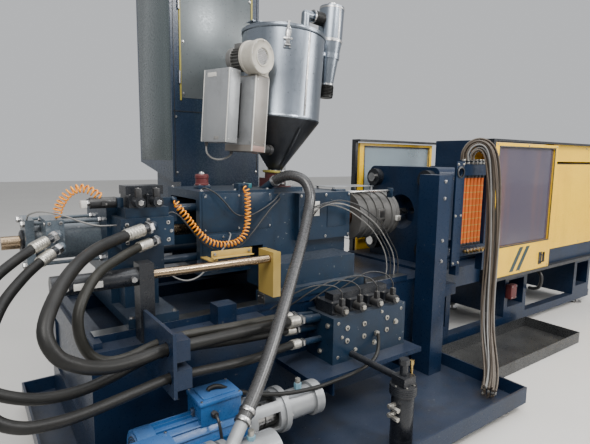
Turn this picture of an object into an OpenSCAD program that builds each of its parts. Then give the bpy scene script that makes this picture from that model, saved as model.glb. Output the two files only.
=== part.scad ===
// Injection moulding machine with a hopper dryer, built in its working layout.
// X runs along the machine toward the clamp, Y toward the cabinet, Z up.
// The origin is the centre of the locating bore on the fixed platen's mould face.

/* [Machine axis] */
// Height of the injection and clamping axis above the floor
axis_height = 1200; // [1180:10:1220]
// Running clearance all round a shaft in its hole
running_gap = 0.05; // [0.03:0.01:0.09]
// Height of the levelling feet
foot_height = 60; // [50:5:80]

/* [Platens] */
// Side of the square platens
platen_side = 780; // [760:10:790]
// Thickness of the fixed platen
fixed_platen_t = 250; // [230:10:260]
// Thickness of the moving platen
moving_platen_t = 240; // [200:10:260]
// Distance between the mould faces in the modelled position
daylight = 560; // [520:10:600]
// Diameter of the four tie bars
tie_bar_d = 80; // [70:5:90]
// Distance between tie bar centres
tie_bar_pitch = 580; // [570:10:600]
// Diameter of the locating bore
locating_bore_d = 125; // [110:5:150]
// Depth of the locating bore
locating_bore_depth = 25; // [15:5:40]
// Diameter of the mould fixing holes
mould_hole_d = 20; // [16:1:24]
// Distance between mould fixing holes across the machine
mould_hole_y = 350; // [280:10:400]
// Distance between mould fixing holes up the platen
mould_hole_z = 210; // [140:10:280]

/* [Clamp] */
// Diameter of the clamping ram
ram_d = 260; // [220:10:300]
// Place of the rear clamp plate behind the fixed mould face
head_front = 1900; // [1880:10:1930]
// Thickness of the rear clamp plate
clamp_head_t = 230; // [200:10:240]
// Outer diameter of the clamp cylinder
clamp_cylinder_d = 420; // [380:10:440]
// Length of the clamp cylinder behind its plate
clamp_cylinder_l = 520; // [500:10:540]
// Diameter of the ejector bar
ejector_d = 40; // [30:5:50]

/* [Clamp base] */
// Depth of the clamp deck's top below the platens
deck_drop = 30; // [20:5:40]
// Depth of the clamp deck beam
deck_depth = 160; // [140:10:180]
// Half of the deck's width
deck_half_w = 500; // [480:5:500]
// Length of clamp base behind the clamp cylinder
base_end = 50; // [40:5:80]
// Side of the square column before the fixed platen
column_w = 140; // [120:10:150]
// Height of the column's top above the floor
column_top = 1545; // [1500:5:1560]

/* [Guards] */
// Length of each sliding guard
guard_length = 1050; // [1000:10:1060]
// Depth of each guard's folded frame
guard_depth = 38; // [30:1:38]
// Height of the guards' lower edge
guard_bottom = 630; // [625:5:640]
// Height of the guards' upper edge
guard_top = 1800; // [1780:5:1805]
// Place of the near guard's left edge
near_guard_x = 260; // [255:5:270]
// Place of the far guard's left edge, pushed partly open
far_guard_x = -280; // [-290:5:-270]
// Thickness of the guard windows
window_t = 6; // [5:1:8]
// Sheet thickness of covers and cabinets
sheet_t = 4; // [3:0.5:5]

/* [Injection bed] */
// Height of the bed's top above the floor
bed_height = 760; // [750:5:765]
// Height of the slide rails on the bed
rail_height = 40; // [30:5:45]
// Width of each slide rail
rail_w = 80; // [60:5:90]
// Place of each slide rail across the machine
rail_y = 450; // [430:5:455]
// Place of the bed's left end
bed_left = -2930; // [-2960:10:-2900]
// Near edge of the oil pan
pan_near_y = -1290; // [-1310:10:-1280]
// Height of the oil pan's rim above its floor
pan_rim = 90; // [60:5:100]

/* [Injection unit] */
// Screw diameter
screw_d = 60; // [50:5:65]
// Barrel diameter
barrel_d = 150; // [130:5:160]
// Gap between the nozzle tip and its seat
nozzle_gap = 60; // [55:5:70]
// Number of heater bands
band_count = 4; // [3:1:5]
// Thickness of a heater band
band_t = 8; // [6:1:10]
// Half width of the carriage housing
housing_half_w = 250; // [240:5:260]
// Height of the carriage housing above the axis
housing_above = 250; // [230:5:260]
// Diameter of the guide rods
guide_rod_d = 50; // [40:5:60]
// Height and side offset of the guide rods from the axis
guide_rod_off = 150; // [140:5:160]
// Diameter of the injection cylinder tube
injection_tube_d = 210; // [190:5:220]
// Diameter of the injection piston rod
piston_rod_d = 70; // [60:5:80]

/* [Hopper dryer] */
// Outer diameter of the drying hopper
hopper_d = 560; // [520:10:580]
// Height of the hopper's straight wall
hopper_wall_h = 560; // [500:10:600]
// Height of the hopper's cone
hopper_cone_h = 360; // [320:10:380]
// Diameter of the hopper's outlet
hopper_outlet_d = 84; // [70:2:96]
// Sheet thickness of the hopper
hopper_sheet = 4; // [3:0.5:5]
// Lean of the dryer toward the clamp in degrees
dryer_lean = 4; // [0:0.5:4.5]
// Turn of the heater boxes about the hopper in degrees
dryer_turn = 16; // [10:1:20]
// Diameter of the cyclone
cyclone_d = 180; // [160:5:190]

/* [Cabinet] */
// Length of the electrical cabinet along the machine
cabinet_length = 740; // [700:10:760]
// Depth of the electrical cabinet
cabinet_depth = 760; // [720:10:780]
// Height of the cabinet's top above the floor
cabinet_top = 2950; // [2900:10:3000]
// Height of the overhanging upper part's near lower edge
cabinet_step = 1400; // [1380:10:1420]

/* [Hydraulics] */
// Outer diameter of the pump motors
motor_d = 250; // [230:5:260]
// Height of the pump shafts above the floor
pump_axis = 370; // [360:5:380]
// Diameter of the filter bowl
filter_d = 120; // [100:5:130]
// Diameter of the two thick pressure hoses
main_hose_d = 54; // [50:2:56]
// Diameter of the two medium pressure hoses
feed_hose_d = 44; // [40:2:48]
// Diameter of the ribbed grey suction hose
grey_hose_d = 66; // [60:2:70]
// Outer diameter of the coiled air line
coil_line_d = 36; // [30:2:40]
// Outer diameter of the bundle of water hoses
bundle_d = 120; // [100:5:130]

/* [Hidden] */
$fn = 40;

// Colours of the painted and bare parts
machine_blue = [0.07, 0.13, 0.24];
block_blue = [0.12, 0.26, 0.36];
guard_yellow = [0.96, 0.72, 0.05];
bare_steel = [0.70, 0.71, 0.72];
dryer_grey = [0.62, 0.65, 0.68];
hose_black = [0.13, 0.13, 0.14];

// Places along the machine
fixed_rear = -fixed_platen_t;
moving_front = daylight;
moving_rear = daylight + moving_platen_t;
head_rear = head_front + clamp_head_t;
base_left = -400;
base_right = head_rear + clamp_cylinder_l + base_end;
platen_low = axis_height - platen_side / 2;
platen_high = axis_height + platen_side / 2;
deck_height = platen_low - deck_drop;
ram_length = head_rear + clamp_cylinder_l - 210 - moving_rear;
cover_left = near_guard_x + guard_length;
cover_right = base_right;
cover_top = guard_top + 10;
bed_right = base_left;
rail_top = bed_height + rail_height;
pan_floor = foot_height + 20;
nozzle_tip = fixed_rear + 150 - nozzle_gap;
nozzle_back = nozzle_tip - 260;
housing_front = -1100;
housing_step = -1730;
housing_back = -2240;
barrel_back = -1800;
guide_rod_end = -1700;
housing_low = axis_height - 250;
housing_high = axis_height + housing_above;
yoke_front = -2450;
yoke_back = -2750;
crosshead_front = -1960;
crosshead_t = 90;
carriage_rod_y = -550;
tube_back = -3110;
throat_h = 100;
hopper_x = -1560;
hopper_base = housing_high + throat_h;
hopper_joint = hopper_cone_h;
hopper_rim = hopper_cone_h + hopper_wall_h;
lid_rise = 30;
cyclone_x = 400;
cyclone_low = hopper_joint + 220;
inlet_z = hopper_rim + 190;
inlet_d = 60;
latch_turn = -118;
hose_gap = 0.1;
knuckle_d = 18;
knuckle_h = 45;
flap_x = -180;
flap_d = 150;
arm_x = bed_left + 256;
motor_x1 = -2790;
motor_x2 = -3060;
motor_l = 450;
motor_y1 = -880;
shaft_d = 50;
bell_l = 230;
motor_y2 = -1150;
manifold_left = -1630;
manifold_right = -1010;
manifold_near = -750;
column_x = -660;
column_near = -700;
battery_left = -480;
battery_near = -700;
panel_x = -1180;
cabinet_left = -2060;
cabinet_near = 620;

// Routes of the hoses, along their centre lines, with heights above the floor
route_main = [
    [-2640, -470, 1290], [-2700, -492, 1278], [-2780, -535, 1264], [-2894, -630, 1244], [-2998, -750, 1208],
    [-3090, -880, 1140], [-3150, -985, 1045], [-3125, -1025, 960], [-3062, -1022, 908], [-2992, -1000, 871],
    [-2903, -968, 846], [-2801, -930, 837], [-2700, -906, 837], [-2580, -904, 835], [-2371, -870, 821],
    [-2134, -805, 792], [-2000, -755, 768], [-1860, -700, 738]
];
route_feed = [
    [-2600, -455, 1218], [-2680, -498, 1205], [-2786, -580, 1182], [-2897, -680, 1150], [-2970, -765, 1095],
    [-3010, -810, 1025], [-3012, -825, 945], [-2988, -822, 870], [-2945, -818, 822], [-2885, -810, 798],
    [-2810, -800, 798], [-2724, -788, 814], [-2640, -780, 826], [-2562, -774, 828], [-2453, -760, 820],
    [-2292, -735, 803], [-2103, -690, 780], [-1960, -652, 760], [-1850, -616, 737]
];
route_upper = [
    [-3050, -370, 1256], [-3110, -404, 1232], [-3180, -462, 1200], [-3268, -565, 1155], [-3350, -690, 1090],
    [-3400, -800, 1000], [-3390, -880, 910], [-3325, -925, 845], [-3237, -945, 800], [-3148, -942, 773],
    [-3030, -920, 760], [-2912, -890, 769], [-2815, -862, 785], [-2700, -842, 800], [-2580, -838, 798],
    [-2335, -800, 760], [-2121, -745, 722], [-1960, -690, 690], [-1850, -650, 664]
];
route_lower = [
    [-3035, -395, 1200], [-3095, -450, 1172], [-3172, -560, 1136], [-3258, -705, 1075], [-3322, -870, 985],
    [-3350, -975, 885], [-3322, -1035, 797], [-3245, -1050, 745], [-3143, -1040, 724], [-3037, -1020, 717],
    [-2853, -970, 716], [-2700, -932, 718], [-2580, -926, 712], [-2269, -870, 671], [-2103, -812, 652],
    [-1961, -760, 632], [-1865, -722, 612]
];
route_suction = [
    [-1690, -180, 1490], [-1672, -230, 1520], [-1640, -310, 1540], [-1596, -390, 1510], [-1590, -450, 1430],
    [-1640, -500, 1330], [-1740, -590, 1205], [-1878, -700, 1050], [-2030, -820, 890], [-2190, -945, 735],
    [-2330, -1045, 615], [-2450, -1122, 525]
];
route_coil = [
    [-2400, -276, 1405], [-2396, -292, 1392], [-2380, -302, 1362], [-2345, -304, 1320], [-2310, -308, 1270],
    [-2268, -316, 1215], [-2210, -325, 1165], [-2140, -330, 1145], [-2060, -330, 1145], [-1995, -322, 1175],
    [-1962, -310, 1230], [-1950, -302, 1300], [-1948, -296, 1370], [-1948, -292, 1425], [-1950, -282, 1458],
    [-1952, -260, 1472]
];
route_bundle = [
    [-305, -670, 1651], [-305, -670, 1672], [-305, -672, 1698], [-292, -694, 1742], [-268, -736, 1764], [-244, -778, 1742],
    [-228, -806, 1680], [-205, -815, 1570], [-185, -820, 1430], [-172, -822, 1279], [-165, -825, 1100],
    [-172, -830, 900], [-200, -845, 700], [-235, -870, 545], [-295, -920, 400], [-365, -985, 292],
    [-445, -1050, 222], [-530, -1105, 172], [-620, -1150, 143]
];

module datum() {
    translate([0, 0, -axis_height]) children();
}

// A box between two corners
module block(x0, x1, y0, y1, z0, z1) {
    translate([x0, y0, z0]) cube([x1 - x0, y1 - y0, z1 - z0]);
}

// Cylinders along the three axes
module rod_x(x0, x1, y, z, d) {
    translate([x0, y, z]) rotate([0, 90, 0]) cylinder(h = x1 - x0, d = d);
}

module rod_y(y0, y1, x, z, d) {
    translate([x, y0, z]) rotate([-90, 0, 0]) cylinder(h = y1 - y0, d = d);
}

module rod_z(z0, z1, x, y, d) {
    translate([x, y, z0]) cylinder(h = z1 - z0, d = d);
}

// Repeats its children at the four tie bars
module at_tie_bars() {
    for (y = [-1, 1], z = [-1, 1]) {
        translate([0, y * tie_bar_pitch / 2, z * tie_bar_pitch / 2]) children();
    }
}

// A smooth hose along its route
function route_pt(p, i) = p[max(0, min(len(p) - 1, i))];
function curve_pt(p, i, t) = 0.5 * (2 * route_pt(p, i)
    + (route_pt(p, i + 1) - route_pt(p, i - 1)) * t
    + (2 * route_pt(p, i - 1) - 5 * route_pt(p, i) + 4 * route_pt(p, i + 1) - route_pt(p, i + 2)) * t * t
    + (3 * route_pt(p, i) - route_pt(p, i - 1) - 3 * route_pt(p, i + 1) + route_pt(p, i + 2)) * t * t * t);
function smooth(p, n) = [
    for (i = [0 : len(p) - 2]) for (k = [0 : n - 1]) curve_pt(p, i, k / n),
    p[len(p) - 1]
];
function unit(v) = v / norm(v);
function heading(q, i) = unit(route_pt(q, i + 1) - route_pt(q, i - 1));
function carried(side, t) = unit(side - t * (side * t));
function sides(q, i, side, out) = i == len(q) ? out :
    let (s = carried(side, heading(q, i))) sides(q, i + 1, s, concat(out, [s]));

module tube_along(route, d, n, facets) {
    q = smooth(route, n);
    s = sides(q, 0, [0.2, 0.1, 1], []);
    rings = len(q);
    points = [for (i = [0 : rings - 1]) for (k = [0 : facets - 1])
        let (a = 360 * k / facets) q[i] + d / 2 * (cos(a) * s[i] + sin(a) * cross(heading(q, i), s[i]))];
    walls = [for (i = [0 : rings - 2]) for (k = [0 : facets - 1])
        let (a = i * facets + k, b = i * facets + (k + 1) % facets) [a, a + facets, b + facets, b]];
    start = [for (k = [0 : facets - 1]) k];
    end = [for (k = [0 : facets - 1]) rings * facets - 1 - k];
    polyhedron(points = points, faces = concat(walls, [start, end]), convexity = 8);
}

// Directions in which a hose leaves its first fitting and enters its last one
function leaving(route) = heading(smooth(route, 2), 0);
function entering(route) = heading(smooth(route, 2), 2 * len(route) - 2);

// A round stub from a point along a direction
module stub(at, way, d, l) {
    translate(at) rotate([0, acos(way[2]), atan2(way[1], way[0])]) cylinder(h = l, d = d);
}

// An elbow between a wall that faces the near side and a hose's first end
module elbow(route, d, reach, wall_y) {
    corner = route[0] - reach * leaving(route);
    stub(route[0] - hose_gap * leaving(route), -leaving(route), d, reach - hose_gap);
    translate(corner) sphere(d = d + 6);
    rod_y(corner[1], wall_y, corner[0], corner[2], d);
}

// The injection bed: oil tank, rails, shelf, oil pan and hose arm, welded in one
module bed_frame() {
    datum() color(machine_blue) difference() {
        union() {
            block(bed_left, -2000, -600, 600, pan_floor, bed_height);
            block(-2000, bed_right, -480, 600, pan_floor, bed_height);
            block(bed_left - 190, bed_right, pan_near_y, 620, foot_height, pan_floor);
            block(bed_left - 190, bed_right, pan_near_y, pan_near_y + 12, foot_height, pan_floor + pan_rim);
            block(bed_left - 190, bed_left - 178, pan_near_y, 620, foot_height, pan_floor + pan_rim);
            block(bed_left - 190, bed_right, 608, 620, foot_height, pan_floor + pan_rim);
            block(bed_right - 12, bed_right, pan_near_y, -480, foot_height, pan_floor + pan_rim);
            block(-1850, -960, -860, -480, 400, 430);
            for (x = [-1700, -1080]) block(x, x + 12, -840, -480, 300, 400);
            for (y = [-1, 1]) {
                block(bed_left + 40, -700, y * rail_y - rail_w / 2, y * rail_y + rail_w / 2, bed_height, rail_top);
            }
            block(-2300, -2190, -600, -rail_y - rail_w / 2 - 14, bed_height - 5, 870);
            block(bed_left + 20, bed_left + 60, -560, 560, bed_height - 20, bed_height + 30);
            hose_arm();
        }
        block(-2820, -1000, -340, 340, bed_height - 80, bed_height + 1);
        hose_arm_holes();
        for (x = [-2700, -2350, -1700, -1200]) {
            rod_y(590, 601, x, 420, 260);
        }
        block(bed_left - 1, bed_left + 14, -420, 420, 300, 640);
    }
}

// Arm that carries the pressure hoses off the bed's near wall
module hose_arm() {
    block(arm_x - 16, arm_x, -980, -600, 640, 925);
    block(arm_x, arm_x + 68, -960, -862, 790, 884);
    block(arm_x, arm_x + 68, -975, -882, 672, 760);
}

module hose_arm_holes() {
    hole = 8;
    for (r = [route_main, route_feed, route_upper, route_lower]) {
        d = r == route_main ? main_hose_d : feed_hose_d;
        k = r == route_feed || r == route_upper || r == route_main ? (r == route_feed ? 11 : r == route_upper ? 13 : 12) : 11;
        hull() {
            translate(r[k]) rotate([0, 90, 0]) cylinder(h = 1, d = d + hole, $fn = 32);
            translate(r[k + 1]) rotate([0, 90, 0]) cylinder(h = 1, d = d + hole, $fn = 32);
        }
    }
}

// The clamp base: deck, three legs, skids and the near column, welded in one
module clamp_base() {
    skid_top = foot_height + 80;
    datum() color(machine_blue) {
        difference() {
            block(base_left, base_right, -deck_half_w, deck_half_w, deck_height - deck_depth, deck_height);
            block(base_left + 420, near_guard_x + 320, -330, 330, deck_height - deck_depth - 1, deck_height + 1);
            block(moving_rear + 100, base_right - 40, -deck_half_w + 30, deck_half_w - 30,
                deck_height - deck_depth - 1, deck_height - 30);
        }
        for (x = [base_left, 850, base_right - 420]) {
            difference() {
                block(x, x + 400, -380, 380, skid_top, deck_height - deck_depth);
                block(x + 60, x + 340, -381, 381, skid_top + 90, deck_height - deck_depth - 120);
            }
        }
        for (y = [-1, 1]) {
            block(base_left, base_right, y * 340 - 40, y * 340 + 40, foot_height, skid_top);
        }
        difference() {
            block(column_x, column_x + column_w, column_near, column_near + column_w + 30, pan_floor, column_top);
            block(column_x + 6, column_x + column_w - 6, column_near + 6, column_near + column_w + 24,
                pan_floor + 20, column_top - 6);
        }
        block(column_x + column_w, base_left + 60, column_near + 40, column_near + 120, 640, 720);
        block(base_left, base_left + 60, column_near + 40, -deck_half_w, 640, 720);
        for (y = [-1, 1]) {
            block(60, head_front, y * 300 - 45, y * 300 + 45, deck_height, platen_low - 10);
        }
    }
}

// Screwed feet under the pan and the skids
module levelling_feet() {
    datum() color(bare_steel) {
        for (x = [bed_left - 90, -1800, -560], y = [pan_near_y + 90, 520]) foot(x, y, foot_height);
        for (x = [base_left + 160, 1050, base_right - 200], y = [-340, 340]) foot(x, y, foot_height);
    }
}

module foot(x, y, h) {
    rod_z(0, 16, x, y, 110);
    rod_z(16, h, x, y, 30);
    translate([x, y, h - 22]) cylinder(h = 22, d = 60, $fn = 6);
}

// Sheet tray that catches oil beside the clamp
module drip_tray() {
    tray_left = bed_right;
    tray_right = 1180;
    tray_near = -940;
    tray_far = -430;
    datum() color([0.20, 0.21, 0.22]) difference() {
        block(tray_left, tray_right, tray_near, tray_far, 0, 100);
        block(tray_left + 4, tray_right - 4, tray_near + 4, tray_far - 4, 5, 101);
    }
}

// Slots for clamping bars in a platen's mould face
module mould_holes(face_x, depth) {
    for (y = [-1, 1], z = [-1, 1]) {
        rod_x(face_x, face_x + depth, y * mould_hole_y / 2, axis_height + z * mould_hole_z / 2, mould_hole_d);
    }
}

module platen_blank(x0, x1) {
    r = 60;
    translate([x0, 0, axis_height]) rotate([0, 90, 0]) linear_extrude(x1 - x0) hull() {
        for (y = [-1, 1], z = [-1, 1]) {
            translate([z * (platen_side / 2 - r), y * (platen_side / 2 - r)]) circle(r, $fn = 32);
        }
    }
}

module tie_bar_holes(x0, x1, d) {
    translate([0, 0, axis_height]) at_tie_bars() rod_x(x0, x1, 0, 0, d);
}

module fixed_platen() {
    datum() color(machine_blue) difference() {
        union() {
            platen_blank(fixed_rear, 0);
            block(fixed_rear, 0, -360, 360, deck_height, platen_low + 80);
        }
        tie_bar_holes(fixed_rear - 1, 1, tie_bar_d + 2 * running_gap);
        rod_x(-locating_bore_depth, 1, 0, axis_height, locating_bore_d);
        rod_x(-110, 1 - locating_bore_depth, 0, axis_height, 60);
        translate([fixed_rear - 1, 0, axis_height]) rotate([0, 90, 0])
            cylinder(h = fixed_platen_t - 109, d1 = 300, d2 = 190);
        mould_holes(-60, 61);
    }
}

// Rear clamp plate and its cylinder, cast in one
module clamp_head() {
    cylinder_end = head_rear + clamp_cylinder_l;
    datum() color(machine_blue) difference() {
        union() {
            platen_blank(head_front, head_rear);
            block(head_front, head_rear, -360, 360, deck_height, platen_low + 80);
            rod_x(head_rear - 1, cylinder_end, 0, axis_height, clamp_cylinder_d);
            rod_x(cylinder_end - 40, cylinder_end + 20, 0, axis_height, clamp_cylinder_d + 40);
            block(head_rear, head_rear + 300, -30, 30, axis_height + 150, axis_height + 330);
        }
        tie_bar_holes(head_front - 1, head_rear + 1, tie_bar_d + 2 * running_gap);
        rod_x(head_front - 1, cylinder_end - 20, 0, axis_height, ram_d + 2 * running_gap);
    }
}

module tie_bars() {
    datum() color(bare_steel) tie_bar_rods();
}

module tie_bar_rods() {
    translate([0, 0, axis_height]) at_tie_bars() rod_x(fixed_rear - 80, head_rear + 80, 0, 0, tie_bar_d);
}

module tie_bar_nuts() {
    datum() color([0.16, 0.17, 0.20]) translate([0, 0, axis_height]) at_tie_bars() {
        for (x = [fixed_rear - 60, head_rear]) difference() {
            rod_x(x, x + 60, 0, 0, tie_bar_d + 70);
            rod_x(x - 1, x + 61, 0, 0, tie_bar_d + 2 * running_gap);
        }
    }
}

module clamp_ram() {
    datum() color(bare_steel) difference() {
        rod_x(moving_rear, moving_rear + ram_length, 0, axis_height, ram_d);
        rod_x(moving_rear - 1, moving_rear + 220, 0, axis_height, 120);
    }
}

// Moving platen with ribs, slide shoes and the ejector's guide bore
module moving_platen() {
    datum() color(machine_blue) difference() {
        union() {
            platen_blank(moving_front, moving_front + 110);
            platen_blank(moving_rear - 60, moving_rear);
            rod_x(moving_front + 100, moving_rear - 50, 0, axis_height, 340);
            translate([0, 0, axis_height]) at_tie_bars() {
                rod_x(moving_front + 100, moving_rear - 50, 0, 0, tie_bar_d + 90);
            }
            for (y = [-1, 1]) {
                block(moving_front, moving_rear, y * 300 - 60, y * 300 + 60, platen_low - 10, platen_low + 90);
            }
            block(moving_front + 60, moving_front + 72, -60, 340, platen_high - 20, platen_high + 250);
        }
        tie_bar_holes(moving_front - 1, moving_rear + 1, tie_bar_d + 2 * running_gap);
        rod_x(moving_front - 1, moving_rear + 1, 0, axis_height, ejector_d + 2 * running_gap);
        rod_x(moving_rear - 30, moving_rear + 1, 0, axis_height, 120);
        mould_holes(moving_front - 1, 61);
    }
}

module ejector_bar() {
    datum() color(bare_steel) {
        rod_x(moving_front + 30, moving_rear + 60, 0, axis_height, ejector_d);
        rod_x(moving_rear + 60, moving_rear + 90, 0, axis_height, 100);
    }
}

// Frame of a sliding guard; side is -1 on the near side and 1 on the far side
module guard_frame(x0, side) {
    y0 = side < 0 ? -deck_half_w - 6 - guard_depth : deck_half_w + 6;
    window_low = guard_bottom + 270;
    difference() {
        block(x0, x0 + guard_length, y0, y0 + guard_depth, guard_bottom, guard_top);
        block(x0 + 60, x0 + guard_length - 45, y0 - 1, y0 + guard_depth + 1, window_low, guard_top - 30);
        block(x0 + 4, x0 + guard_length - 4, side < 0 ? y0 + 4 : y0 - 1, side < 0 ? y0 + guard_depth + 1 : y0 + guard_depth - 4,
            guard_bottom + 20, window_low - 20);
        block(x0 + guard_length - 130, x0 + guard_length - 80, side < 0 ? y0 - 1 : y0 + guard_depth - 5,
            side < 0 ? y0 + 5 : y0 + guard_depth + 1, guard_bottom + 50, guard_bottom + 150);
    }
}

module guard_window(x0, side) {
    y0 = side < 0 ? -deck_half_w - 6 - guard_depth / 2 : deck_half_w + 6 + guard_depth / 2 - window_t;
    block(x0 + 60, x0 + guard_length - 45, y0, y0 + window_t, guard_bottom + 270, guard_top - 30);
}

module rear_guard() {
    datum() color(guard_yellow) guard_frame(near_guard_x, -1);
}

module rear_window() {
    datum() color([0.30, 0.27, 0.35, 0.5]) guard_window(near_guard_x, -1);
}

module front_guard() {
    datum() color(guard_yellow) guard_frame(far_guard_x, 1);
}

module front_window() {
    datum() color([0.55, 0.66, 0.70, 0.5]) guard_window(far_guard_x, 1);
}

// Rails and posts on which both guards slide
module guard_rails() {
    wide = guard_depth + 12;
    datum() color([0.10, 0.12, 0.16]) {
        block(near_guard_x - 40, cover_right - 120, -deck_half_w - wide, -deck_half_w, guard_bottom - 30, guard_bottom);
        block(near_guard_x - 40, cover_right - 120, -deck_half_w - wide, -deck_half_w + 60, guard_top + 10, guard_top + 30);
        block(near_guard_x - 40, near_guard_x - 10, -deck_half_w - wide, -deck_half_w, guard_bottom, guard_top + 10);
        block(far_guard_x - 60, cover_left + 40, deck_half_w, deck_half_w + wide, guard_bottom - 30, guard_bottom);
        block(far_guard_x - 60, cover_left + 40, deck_half_w - 60, deck_half_w + wide, guard_top + 10, guard_top + 30);
        block(far_guard_x - 60, far_guard_x - 30, deck_half_w, deck_half_w + wide, guard_bottom, guard_top + 10);
    }
}

// Sheet cover over the clamp, with its long slots and hand recesses
module clamp_cover() {
    datum() color(guard_yellow) difference() {
        block(cover_left, cover_right, -deck_half_w, deck_half_w, deck_height, cover_top);
        block(cover_left - 1, cover_right - sheet_t, -deck_half_w + sheet_t, deck_half_w - sheet_t,
            deck_height - 1, cover_top - sheet_t);
        block(cover_left + 60, cover_right - 80, -deck_half_w - 1, deck_half_w + 1, cover_top - 180, cover_top - 162);
        for (x = [cover_right - 480]) {
            block(x, x + 60, -deck_half_w - 1, deck_half_w + 1, deck_height + 380, deck_height + 480);
        }
        for (z = [0 : 7]) {
            block(cover_right - sheet_t - 1, cover_right + 1, -260, 260, deck_height + 300 + z * 50, deck_height + 320 + z * 50);
        }
    }
}

// Tall electrical cabinet whose upper part overhangs the bed
module cabinet_body() {
    x0 = cabinet_left;
    y0 = cabinet_near;
    wall = sheet_t;
    datum() color(machine_blue) {
        difference() {
            union() {
                translate([x0, 0, 0]) rotate([90, 0, 90]) linear_extrude(cabinet_length) polygon([
                    [y0, cabinet_step + 60], [y0 + cabinet_depth, cabinet_step + 200],
                    [y0 + cabinet_depth, cabinet_top], [y0, cabinet_top]
                ]);
                block(x0 + 60, x0 + cabinet_length, y0, y0 + 520, foot_height, cabinet_top - 60);
            }
            block(x0 + 60 + wall, x0 + cabinet_length - wall, y0 + wall, y0 + cabinet_depth - 1 - 300,
                foot_height + 60, cabinet_top - 30);
            block(x0 + 20, x0 + cabinet_length - 20, y0 + 300, y0 + cabinet_depth + 1, cabinet_step + 220, cabinet_top - 20);
            block(x0 + 75, x0 + cabinet_length - 70, y0 - 1, y0 + 8, cabinet_step + 680, cabinet_top - 60);
            at_hinges() rod_z(-0.5, knuckle_h + 1, x0 + 20.5, y0 + cabinet_depth, knuckle_d + 1);
        }
        at_hinges() rod_z(-knuckle_h, 0, x0 + 20.5, y0 + cabinet_depth, knuckle_d);
        for (x = [x0 + 60, x0 + cabinet_length - 100]) {
            block(x, x + 100, y0 + 60, y0 + 480, 0, foot_height);
        }
    }
}

module cabinet_door() {
    x0 = cabinet_left;
    y1 = cabinet_near + cabinet_depth;
    datum() color(machine_blue) difference() {
        union() {
            block(x0 + 20.5, x0 + cabinet_length - 20.5, y1 - 26, y1 - 2, cabinet_step + 222, cabinet_top - 22);
            block(x0 + cabinet_length - 90, x0 + cabinet_length - 60, y1 - 3, y1 + 30, 2050, 2250);
            at_hinges() rod_z(0.5, knuckle_h, x0 + 20.5, y1, knuckle_d);
        }
        at_hinges() rod_z(-knuckle_h - 0.5, 0.5, x0 + 20.5, y1, knuckle_d + 1);
        rod_y(y1 - 27, y1 + 1, x0 + 370, 2500, 30 + 2 * running_gap);
    }
}

// Repeats its children at the three hinges of the cabinet's door
module at_hinges() {
    for (k = [0.12, 0.5, 0.88]) {
        translate([0, 0, cabinet_step + 200 + k * (cabinet_top - cabinet_step - 200)]) children();
    }
}

module main_switch() {
    x = cabinet_left + 370;
    y1 = cabinet_near + cabinet_depth;
    datum() color([0.70, 0.08, 0.06]) {
        rod_y(y1 - 40, y1 + 4, x, 2500, 30);
        rod_y(y1 + 4, y1 + 16, x, 2500, 74);
        block(x - 10, x + 10, y1 + 15, y1 + 40, 2465, 2535);
    }
}

// Operator's control panel on the far side, hung on the cabinet's right wall
module control_panel() {
    datum() color([0.78, 0.78, 0.74]) difference() {
        union() {
            block(cabinet_left + cabinet_length, panel_x - 60, 900, 1060, 1420, 1480);
            block(panel_x - 60, panel_x + 300, 860, 1100, 1250, 1720);
        }
        block(panel_x - 20, panel_x + 260, 1090, 1101, 1470, 1690);
        rod_y(1060, 1101, panel_x + 200, 1330, 24 + 2 * running_gap);
    }
}

module emergency_stop() {
    datum() color([0.80, 0.06, 0.05]) {
        rod_y(1070, 1106, panel_x + 200, 1330, 24);
        rod_y(1106, 1124, panel_x + 200, 1330, 42);
    }
}

// Cast housing that holds the barrel and slides on the rails
module carriage_housing() {
    datum() color(block_blue) difference() {
        union() {
            block(housing_back, housing_step, -housing_half_w, housing_half_w, housing_low, housing_high);
            block(housing_step, housing_front, -housing_half_w + 20, housing_half_w - 20, housing_low, housing_high - 30);
            block(-1550, housing_front, -housing_half_w - 30, -housing_half_w + 30, axis_height - 100, housing_high - 30);
            for (y = [-1, 1]) {
                block(-1950, -1150, y * rail_y - rail_w / 2 - 10, y * rail_y + rail_w / 2 + 10, rail_top, rail_top + 60);
                block(-1900, -1200, y < 0 ? -rail_y : 200, y < 0 ? -200 : rail_y, rail_top + 60, housing_low + 60);
            }
            block(-1700, -1400, -110, 110, housing_high - 31, housing_high);
            block(-1985, -1915, -housing_half_w, -housing_half_w + 60, housing_high - 1, housing_high + 40);
            stub(route_coil[len(route_coil) - 1], entering(route_coil), 22, 24);
            stub(route_suction[0] - hose_gap * leaving(route_suction), -leaving(route_suction), grey_hose_d - 8, 150);
        }
        rod_x(barrel_back - 50, housing_front + 1, 0, axis_height, barrel_d + 2 * running_gap);
        block(housing_back - 1, barrel_back, -200, 200, axis_height - 210, axis_height + 200);
        block(-1950, -1810, -housing_half_w - 1, housing_half_w + 1, axis_height - 200, axis_height - 100);
        rod_z(axis_height, housing_high + 1, hopper_x, 0, 70);
        for (y = [-1, 1], z = [-1, 1]) {
            translate([0, y * guide_rod_off, axis_height + z * guide_rod_off]) rod_x(barrel_back - 1, guide_rod_end, 0, 0, guide_rod_d + 2 * running_gap);
        }
    }
}

module barrel() {
    datum() color(bare_steel) difference() {
        union() {
            rod_x(barrel_back, housing_front, 0, axis_height, barrel_d);
            rod_x(housing_front, nozzle_back, 0, axis_height, barrel_d - 10);
            rod_x(housing_front, housing_front + 40, 0, axis_height, barrel_d + 60);
            rod_x(nozzle_back - 70, nozzle_back, 0, axis_height, barrel_d + 14);
        }
        rod_x(barrel_back - 1, nozzle_back + 1, 0, axis_height, screw_d + 2 * running_gap);
        rod_z(axis_height, axis_height + 120, hopper_x, 0, 56);
    }
}

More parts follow.
